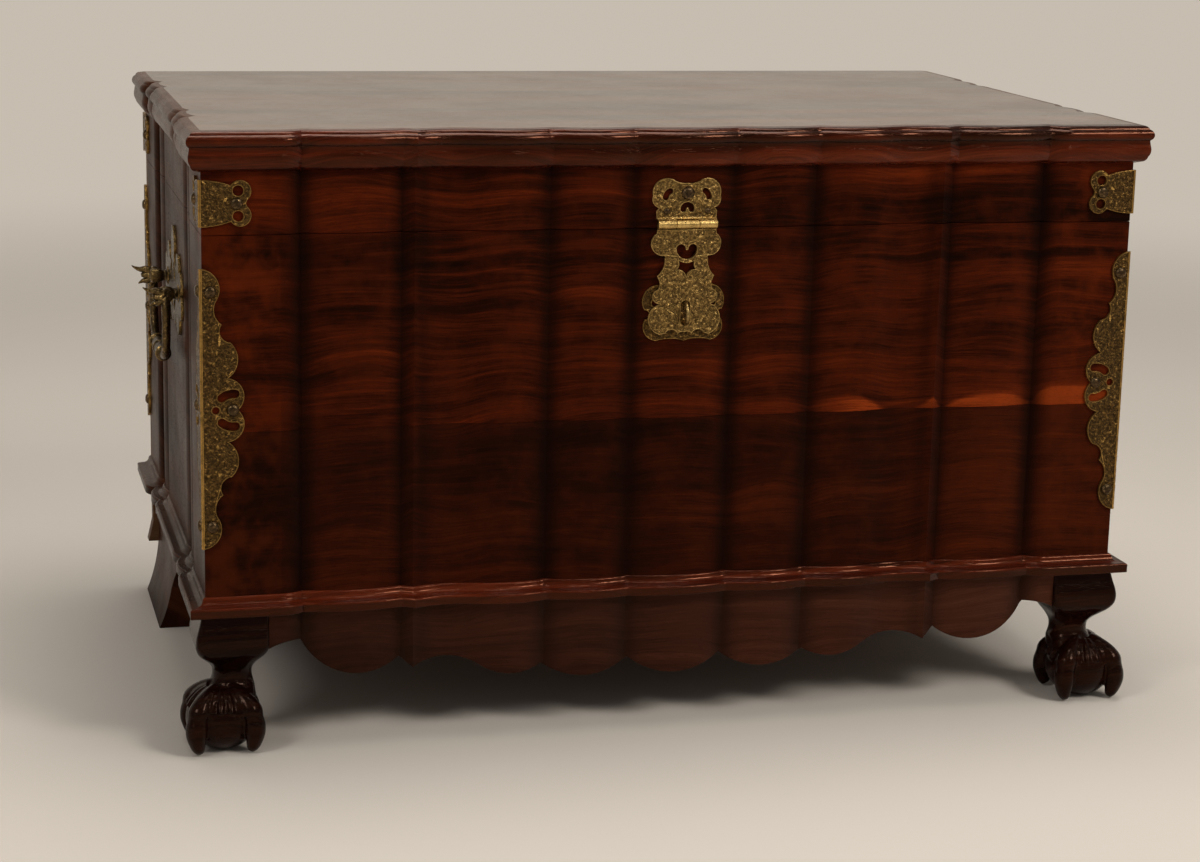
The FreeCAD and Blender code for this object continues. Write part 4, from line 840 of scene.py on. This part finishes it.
def corner_plate(half, holes, tall, up, seed):
    """Both leaves of the left front corner and the bend between them."""
    bend = -SEAT - STRAP / 2
    outline = [(x, -y) for x, y in reversed(half)] + half[1:] + [(bend, tall / 2), (bend, -tall / 2)]
    leaf = plate(outline, holes, STRAP, seed)
    front = taken(leaf.copy(), lambda p: (-HALF + p.x, FRONT - SEAT - p.z, up + p.y))
    side = taken(leaf, lambda p: (-HALF - SEAT - p.z, FRONT + p.x, up + p.y))
    angles = [pi / 2 * step / 8 for step in range(9)]
    places = [(-HALF - SEAT - STRAP * sin(a), FRONT - SEAT - STRAP * cos(a)) for a in angles]
    places.append((-HALF - SEAT, FRONT - SEAT))
    rings = [[(x, y, z) for x, y in places] for z in (up - tall / 2, up + tall / 2)]
    return together([front, side, solid(lofted(rings), 0, 0.9)])


def four_corners(mesh):
    """The plate and its mirror images on the other three corners."""
    copies = [mesh, taken(mesh.copy(), lambda p: (-p.x, p.y, p.z))]
    copies += [taken(one.copy(), lambda p: (p.x, 2 * MIDDLE - p.y, p.z)) for one in copies]
    return together(copies)


def corner_mounts():
    """The straps on the case's corners and the brackets on the lid's."""
    half = sized(line((35.6, 0), [
        ((42, 16.5), (25.5, 33.5)), ((36, 52), (28.5, 70.5)), ((18.8, 77), (19.6, 89.5)),
        ((12.5, 100), (14, 113.5)), ((17.8, 128), (0, 147))], 14), MM)
    eye = (0.74 * STRAP_WIDE, 0)
    holes = [bean(eye, 0.42 * STRAP_WIDE, 0.11 * STRAP_WIDE, first, first + 50) for first in (82, -132)]
    holes.append(circle((0.31 * STRAP_WIDE, 0), 0.095 * STRAP_WIDE))
    mesh = four_corners(corner_plate(half, holes, STRAP_TALL, STRAP_Z, 1))
    dress("corner_straps", mesh, [strap_brass], "case", 32)
    half = sized(line((45.3, 0), [((46.3, 2.6), (48.5, 5.4)), ((46, 21.6), (30, 18.5)),
        ((19.4, 21.6), (0, 24))], 14), MM)
    holes = [circle((0.77 * BRACKET_WIDE, side * 0.27 * BRACKET_TALL), 0.112 * BRACKET_WIDE)
             for side in (1, -1)]
    mesh = four_corners(corner_plate(half, holes, BRACKET_TALL, BRACKET_Z, 2))
    dress("lid_brackets", mesh, [strap_brass], "lid", 32)


corner_mounts()

# Hasp: its plates are bent to the middle lobe of the front
LOBE_HALF, LOBE_SAG = 0.108 * HALF, 0.8 * RELIEF
LOBE = (LOBE_HALF ** 2 + LOBE_SAG ** 2) / (2 * LOBE_SAG)  # the lobe's radius
AXIS_Y, AXIS_Z = FRONT - 4.9 * MM, 555 * MM  # the barrel's axis
HASP, BARREL, LIP_END = 37.5 * MM, 12.4 * MM, 32.5 * MM  # half widths from the middle
FOOT = 5.35 * MM  # from the axis to either plate's edge
HANGER, FLAP, BACKPLATE_HALF = 42 * MM, 113 * MM, 30.51 * MM  # heights
HASP_THICK, BACKPLATE_THICK, FLAP_LIFT = 3.5 * MM, 2 * MM, 2.6 * MM
STAPLE_Z = 460 * MM
STAPLE_REACH, STAPLE_BEND, STAPLE_WIRE, STAPLE_DEEP = 18.5, 10.7, 2.2, 22  # mm
NAIL_RADIUS, NAIL_RISE, HANGER_FACE = 6.5 * MM, 4 * MM, 3.2 * MM  # the face's lift off the wood


def dome(base, outward, radius, rise, seed):
    """A forged nail's head: a low dome with hammer flats."""
    lay = outward.to_track_quat("Z", "Y").to_matrix()
    rings = []
    for share, height in ((1, 0), (1, 0.16), (0.965, 0.34), (0.9, 0.52), (0.79, 0.7),
            (0.63, 0.85), (0.42, 0.95), (0.2, 0.99)):
        ring = []
        for c, s in turns(22):
            spot = Vector((c * share, s * share, height))
            flat = 1 + 0.055 * noise.noise(spot * 1.7 + Vector((seed, seed * 0.7, 0)))
            wide = radius * flat * 0.97
            ring.append(base + lay @ Vector((spot.x * wide, spot.y * wide, height * rise * min(flat, 1))))
        rings.append(ring)
    return lofted(rings)


def corner_heads(offsets, up, lift):
    """Nail heads at (inward, height) places on both leaves of all four corners."""
    heads = []
    for across in (-1, 1):
        for end in (-1, 1):
            corner_y = MIDDLE + end * DEPTH / 2
            for inward, height in offsets:
                seed = len(heads) * 3.1 + 0.7
                for x, y, outward in ((-inward, lift, INWARD * end), (lift, -inward, ACROSS * across)):
                    base = Vector((across * (HALF + x), corner_y + end * y, up + height))
                    heads.append(dome(base, outward, NAIL_RADIUS, NAIL_RISE, seed))
                    seed += 1
    return heads


def on_lobe(lift, up):
    """Bends a flat plate to the middle lobe: x across, y up, z off the wood."""
    def change(p):
        radius = LOBE + lift + p.z
        turn = p.x / (LOBE + lift)
        return Vector((radius * sin(turn), FRONT + LOBE - radius * cos(turn), p.y + up))
    return change


def nails():
    """The heads on the straps, the brackets and the hasp's hanger."""
    lift = SEAT + STRAP - 0.5 * MM
    offsets = [(0.74 * STRAP_WIDE, 0), (0.2 * STRAP_WIDE, 0.42 * STRAP_TALL),
               (0.2 * STRAP_WIDE, -0.42 * STRAP_TALL)]
    heads = corner_heads(offsets, STRAP_Z, lift)
    dress("case_nails", mesh_of(*heads), [nail_brass], "case", 50)
    heads = corner_heads([(0.74 * BRACKET_WIDE, 0)], BRACKET_Z, lift)
    for across, up, radius, rise in ((0, 0.66, 7.4, 4.4), (-0.6, 0.2, 3.6, 2.4), (0.6, 0.2, 3.6, 2.4)):
        x = across * HASP
        turn = asin(x / (LOBE + HANGER_FACE))
        base = on_lobe(HANGER_FACE, AXIS_Z + FOOT)(Vector((x, up * HANGER, 0)))
        outward = Vector((sin(turn), -cos(turn), 0))
        heads.append(dome(base, outward, radius * MM, rise * MM, 9 + x * 99))
    dress("lid_nails", mesh_of(*heads), [nail_brass], "lid", 50)


def knuckle(low, high):
    """A rolled barrel between two distances across, with eased ends."""
    path = ((low, 2.1), (low, 4.3), (low + 0.4 * MM, 4.75), (high - 0.4 * MM, 4.75), (high, 4.3),
            (high, 2.1), (low, 2.1))
    rings = [[(x, AXIS_Y + radius * MM * c, AXIS_Z + radius * MM * s) for c, s in turns(32)]
             for x, radius in path]
    return solid(lofted(rings, capped=False), 1, 1)


def hasp_plate(half, holes, thick, lift, up, seed):
    """A plate from its half outline, at a height, bent to the lobe."""
    return taken(plate(closed_line(half), holes, thick, seed, 1.5 * MM, 0.42 * MM), on_lobe(lift, up))


def hasp_hanger():
    """The upper plate with its two ears and a heart, and the lips beside the barrel."""
    half = line((0, 0.91 * HANGER), scaled([
        ((0.13, 0.905), (0.26, 0.93)), ((0.33, 0.95), (0.4, 0.99)), ((0.9, 0.9), (0.98, 0.58)),
        ((0.97, 0.4), (0.81, 0.28)), (0.88, 0.2), (0.867, 0), (0, 0)], HASP, HANGER))
    holes = [bean((side * 0.4 * HASP, 0.53 * HANGER), 0.225 * HASP, 0.085 * HASP, *angles)
             for side, angles in ((1, (6, 62)), (-1, (118, 174)))]
    holes.append(bean((0, 0.25 * HANGER), 0.12 * HASP, 0.085 * HASP, 0, 180))
    parts = [hasp_plate(half, holes, HASP_THICK, SEAT, AXIS_Z + FOOT, 3)]
    top, back = AXIS_Z + FOOT + 0.6 * MM, FRONT - 1.2 * MM
    for side in (-1, 1):
        low, far = sorted((side * (BARREL + 0.35 * MM), side * LIP_END))
        lip = [[(x, y, z) for y, z in ((FRONT - HASP_THICK, top), (back, top), (back, AXIS_Z),
            (AXIS_Y - 3 * MM, AXIS_Z + 3 * MM))] for x in (low, far)]
        parts += [knuckle(low, far), solid(lofted(lip), 1, 1)]
    dress("hasp_hanger", together(parts), [plate_brass, wire_brass], "lid", 32)


def hasp_flap():
    """The lower plate with a kidney, a star and the staple's slot, and the barrel."""
    half = line((0, -0.975 * FLAP), scaled([
        ((0.09, 0.97), (0.2, 0.995)), ((0.38, 0.95), (0.56, 0.985)), (0.71, 1),
        ((1.05, 0.83), (0.72, 0.705)), ((0.95, 0.64), (0.8, 0.57)), ((0.755, 0.53), (0.76, 0.49)),
        (0.83, 0.44), ((0.66, 0.36), (0.63, 0.276)), ((0.62, 0.255), (0.68, 0.25)),
        ((1.02, 0.14), (0.87, 0.04)), (0.853, 0), (0, 0)], HASP, -FLAP))
    kidney = bean((0, -0.215 * FLAP + 0.1 * HASP), 0.17 * HASP, 0.13 * HASP, 178, 362)
    middle, wide, tall = -0.37 * FLAP, 0.29 * HASP, 0.075 * FLAP
    start = (-0.8 * wide, middle + tall)
    star = line(start, scaled([
        ((0, 0.72), (0.8, 1)), ((0.72, 0.5), (1, -0.15)), ((0.35, -0.3), (0, -1.1)),
        ((-0.35, -0.3), (-1, -0.15)), ((-0.72, 0.5), (-0.8, 1))], wide, tall, middle), 8)[:-1]
    middle, long, wide = STAPLE_Z - AXIS_Z + FOOT, 13.7 * MM, 5 * MM
    low, high = middle - long + wide, middle + long - wide
    slot = line((wide, low), [(wide, high), ((0, middle + long), (-wide, high)), (-wide, low),
        ((0, middle - long), (wide, low))], 10)[:-1]
    flap = hasp_plate(half, [kidney, star, slot], HASP_THICK, FLAP_LIFT, AXIS_Z - FOOT, 4)
    dress("hasp_flap", together([flap, knuckle(-BARREL, BARREL)]), [plate_brass, wire_brass], "hasp",
          32)


def hasp_backplate():
    """The plate on the case behind the flap."""
    half = line((0, -BACKPLATE_HALF), scaled([
        ((0.22, -0.93), (0.4, -0.93)), ((0.6, -0.94), (0.8, -1)), ((1.15, -0.68), (1.12, -0.25)),
        ((0.99, -0.08), (1.14, 0.08)), ((1.12, 0.74), (0.78, 0.98)), ((0.38, 0.86), (0, 1))],
        HASP, BACKPLATE_HALF))
    holes = [bean((0, 0), 0.88 * HASP, 0.1 * HASP, first, first + 24) for first in (18, 138)]
    holes += [circle((0, side * STAPLE_BEND * MM), 2.4 * MM, 16) for side in (1, -1)]
    mesh = hasp_plate(half, holes, BACKPLATE_THICK, SEAT, STAPLE_Z, 5)
    # Painted shade: the backplate lies behind the flap and takes the darker strap brass.
    dress("hasp_backplate", mesh, [strap_brass], "case", 32)


def hasp_staple():
    """The bent wire that takes the padlock."""
    straight = STAPLE_WIRE + STAPLE_BEND - STAPLE_REACH
    route = line((STAPLE_DEEP, -STAPLE_BEND), [
        (straight, -STAPLE_BEND), ((straight - STAPLE_BEND, 0), (straight, STAPLE_BEND)),
        (STAPLE_DEEP, STAPLE_BEND)], 28)
    path = [(Vector((0, FRONT + y, STAPLE_Z + z)), STAPLE_WIRE * MM) for y, z in sized(route, MM)]
    dress("hasp_staple", mesh_of(swept(path, ACROSS)), [wire_brass], "case",
          50)


nails()
hasp_hanger()
hasp_flap()
hasp_backplate()
hasp_staple()

# Side handles: the left one is built, the right one mirrored
HANDLE_Z, POST = 446 * MM, 62 * MM  # height, and the posts' distance from the middle
PLATE_X = -HALF + SIDE_START * RELIEF - SEAT
BAIL_X = PLATE_X - 18 * MM
PLATE_SIZE, PLATE_THICK = 85 * MM, 3 * MM
POST_PROFILE = [  # distance out and radius, mm
    (2.4, 10.5), (3.4, 10.5), (4.2, 9.4), (4.8, 7.4), (6, 6.4), (8, 6), (10, 6.8),
    (11.5, 7.8), (14, 8.2), (20.5, 8.2), (22.4, 7.2), (23.5, 5), (23.9, 2)]
BAIL_WIRE, BAIL_EYE, BAIL_DROP = 4.8 * MM, 8.2 * MM, 72 * MM
ARM = POST + 8 * MM + BAIL_WIRE + 0.4 * MM  # the bail's arms from the middle
GRIP = [  # place as a share of the arm, radius in wires; the other half mirrors it
    (-0.56, 0.9), (-0.535, 1.25), (-0.52, 1.5), (-0.5, 1.88), (-0.485, 1.9), (-0.47, 1.6),
    (-0.455, 1.25), (-0.44, 1.3), (-0.36, 1.42), (-0.2, 1.55), (-0.06, 1.58), (-0.05, 1.72),
    (-0.02, 1.88)]
# Each eye ends in a small cast head; out, up and radius in eyes: a brow, a long and a short
# horn, and a chin.
HORNS = (((-0.3, 0.3, 0.8), (-1.1, 0.62, 0.66), (-1.9, 0.66, 0.44), (-2.6, 0.92, 0.24),
          (-3.05, 1.22, 0.07)),
         ((-0.2, -0.5, 0.8), (-0.9, -0.9, 0.62), (-1.5, -1, 0.4), (-2.15, -1.35, 0.1)),
         ((-0.6, -0.1, 0.85), (-1.3, -0.12, 0.62), (-1.75, -0.2, 0.3)),
         ((-0.2, -0.8, 0.55), (-0.3, -1.4, 0.42), (-0.25, -1.8, 0.12)))
BOSS = [(-0.9, 0.86), (-0.8, 0.97), (-0.6, 1), (0.7, 1), (0.95, 0.95), (1.08, 0.8), (1.1, 0.4)]


def turned(profile, base, outward):
    """A lathe-turned form: (distance out, radius) pairs along a direction."""
    lay = outward.to_track_quat("Z", "Y").to_matrix()
    return lofted([[base + lay @ Vector((r * c, r * s, z)) for c, s in turns(28)] for z, r in profile])


def handle_plates():
    """The pierced plates with their two posts."""
    half = sized(line((0, -0.44), [
        ((0.2, -0.5), (0.36, -0.36)), ((0.62, -0.58), (0.78, -0.3)), ((0.9, -0.34), (1, 0)),
        ((0.9, 0.3), (0.78, 0.26)), ((0.58, 0.5), (0.4, 0.32)), ((0.26, 0.3), (0.2, 0.46)),
        ((0.2, 0.64), (0, 0.8))]), PLATE_SIZE)
    holes = [bean((0, 0), 0.3 * PLATE_SIZE, 0.055 * PLATE_SIZE, first, first + 34)
             for first in (28, 118, 208, 298)]
    mesh = plate(closed_line(half), holes, PLATE_THICK, 6, 3 * MM)
    parts = [taken(mesh, lambda p: (PLATE_X - p.z, MIDDLE + p.x, HANDLE_Z + p.y))]
    for side in (-1, 1):
        base = Vector((PLATE_X, MIDDLE + side * POST, HANDLE_Z))
        parts.append(solid(turned(sized(POST_PROFILE, MM), base, -ACROSS), 1, 1))
    left = together(parts)
    dress("handle_plates", together([left, mirrored(left)]), [handle_brass, handle_brass], "case",
          40)


def bails():
    """The swinging handles: wire, turned grip, bosses, pins and cast heads."""
    route = spaced(mirrored_line(line((0, -BAIL_DROP), scaled([
        (0.6, -1), ((0.9, -0.88), (1.03, -0.56)), ((1.06, -0.28), (1, 0))], ARM, BAIL_DROP), 16)))
    path = []
    for i, (y, z) in enumerate(route):
        share = min(i, len(route) - 1 - i) / len(route)
        swell = 1 + 0.1 * sin(min(share * 6, 1) * pi)
        path.append((Vector((0, y, z)), BAIL_WIRE * swell))
    parts = [swept(path, ACROSS, 18)]
    grip = GRIP + [(0, 1.9)] + [(-a, r) for a, r in reversed(GRIP)]
    parts.append(swept([(Vector((0, a * ARM, -BAIL_DROP)), r * BAIL_WIRE) for a, r in grip], ACROSS, 28))
    for side in (-1, 1):
        arm = side * ARM
        for horn in HORNS:
            path = [(Vector((x * BAIL_EYE, arm, z * BAIL_EYE)), r * BAIL_EYE)
                for x, z, r in eased(horn, 5)]
            parts.append(swept(path, INWARD, 14, 0.8))
        path = [(Vector((0, arm + side * a * BAIL_WIRE, 0)), r * BAIL_EYE) for a, r in BOSS]
        parts.append(swept(path, ACROSS, 28))
        path = [(Vector((0, side * (POST - 8 * MM), 0)), 3 * MM), (Vector((0, arm, 0)), 3 * MM)]
        parts.append(swept(path, ACROSS, 20))
    left = mesh_of(*parts)
    left.transform(Matrix.Translation((BAIL_X, MIDDLE, HANDLE_Z)))
    for side, mesh in (("right", mirrored(left)), ("left", left)):
        dress(f"handle_bail_{side}", mesh, [handle_brass], f"handle_{side}", 40)


handle_plates()
bails()

# CAD pieces that keep their shape
for material, nodes in (
        (side_wood, ("side_apron_left", "side_apron_right", "rear_foot_left", "rear_foot_right")),
        (plain_wood, ("back_rail", "back_board", "bottom_board", "lid_skirt_back")),
        (wire_brass, ("hasp_pin", "hinge_leaves_lower", "hinge_leaves_upper", "hinge_pins"))):
    for node in nodes:
        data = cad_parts[node].data
        data.materials.clear()
        data.materials.append(material)

# Studio: pale floor running up into a pale wall, soft lamps, one camera
FLOOR_REACH, WALL_Y, WALL_BEND, WALL_TOP = 200, 7, 1.5, 8
PAPER, FAR_PAPER = (0.66, 0.6, 0.53), (0.57, 0.51, 0.435)
FAR_BEGIN, FAR_FULL = 1.6, 4.2
LAMPS = (  # name, place, target, size, power, colour
    ("lamp_key", (2.2, -3, 3), (0.1, 0, 0.35), (1.2, 1.2), 78, (1, 0.97, 0.92)),
    ("lamp_left", (-2.8, -2.2, 2.6), (-0.2, 0, 0.4), (0.9, 1.2), 34, (1, 0.98, 0.95)),
    ("lamp_over", (0.2, 0.2, 3.4), (0, 0, 0), (2.4, 1.6), 70, (1, 0.98, 0.95)))
SKY, SKY_STRENGTH = (0.8, 0.78, 0.75), 0.3
CAMERA_PLACE, CAMERA_TURN = (-0.7827, -2.9803, 0.9563), (1.3480966, -0.0215475, -0.2499187)
LENS, SENSOR = 79.31, 36


def paper():
    """Pale paper, lit by the lamps near the object and as pale to the eye further off."""
    s = Shader("pale_paper")
    tint = s.mix(s.noise(s.coord, 1.3), [c * 0.97 for c in PAPER], [c * 1.03 for c in PAPER])
    x, y, _ = s.axes()
    reach = s.math("SQRT", x * x + y * y)
    seen, glossy, through = (s.node("LightPath", (), f"Is {kind} Ray")
        for kind in ("Camera", "Glossy", "Transmission"))
    seen = s.math("MAXIMUM", s.math("MAXIMUM", seen, glossy), through)
    share = seen * s.span(reach, FAR_BEGIN, FAR_FULL)
    s.set(Base_Color=s.mix(share, tint, (0, 0, 0)), Roughness=0.7, Specular_IOR_Level=0,
          Emission_Color=FAR_PAPER, Emission_Strength=share)
    return s.material


def backdrop():
    """The floor and the wall behind it, with a round bend between them."""
    angles = [pi / 2 * i / 16 for i in range(1, 17)]
    profile = [(-FLOOR_REACH, 0), (WALL_Y, 0)]
    profile += [(WALL_Y + WALL_BEND * sin(a), WALL_BEND - WALL_BEND * cos(a)) for a in angles]
    profile.append((WALL_Y + WALL_BEND, WALL_TOP))
    verts = [(x, y, z) for y, z in profile for x in (-FLOOR_REACH, FLOOR_REACH)]
    faces = [(2 * i, 2 * i + 1, 2 * i + 3, 2 * i + 2) for i in range(len(profile) - 1)]
    mesh = raw_mesh(verts, faces)
    mesh.shade_smooth()
    mesh.materials.append(paper())
    linked("backdrop", mesh)


def studio():
    """Lamps, sky and camera."""
    scene = bpy.context.scene
    for name, place, target, size, power, colour in LAMPS:
        data = bpy.data.lights.new(name, "AREA")
        data.shape, data.size, data.size_y = "RECTANGLE", *size
        data.energy, data.color = power, colour
        lamp = linked(name, data)
        lamp.location = place
        lamp.rotation_euler = (Vector(target) - Vector(place)).to_track_quat("-Z", "Y").to_euler()
    world = bpy.data.worlds.new("studio")
    world.use_nodes = True
    background = world.node_tree.nodes["Background"]
    background.inputs["Color"].default_value = (*SKY, 1)
    background.inputs["Strength"].default_value = SKY_STRENGTH
    scene.world = world
    data = bpy.data.cameras.new("camera")
    data.lens, data.sensor_width = LENS, SENSOR
    camera = linked("camera", data)
    camera.location, camera.rotation_euler = CAMERA_PLACE, CAMERA_TURN
    scene.camera = camera
    scene.view_settings.view_transform = "Standard"


backdrop()
studio()
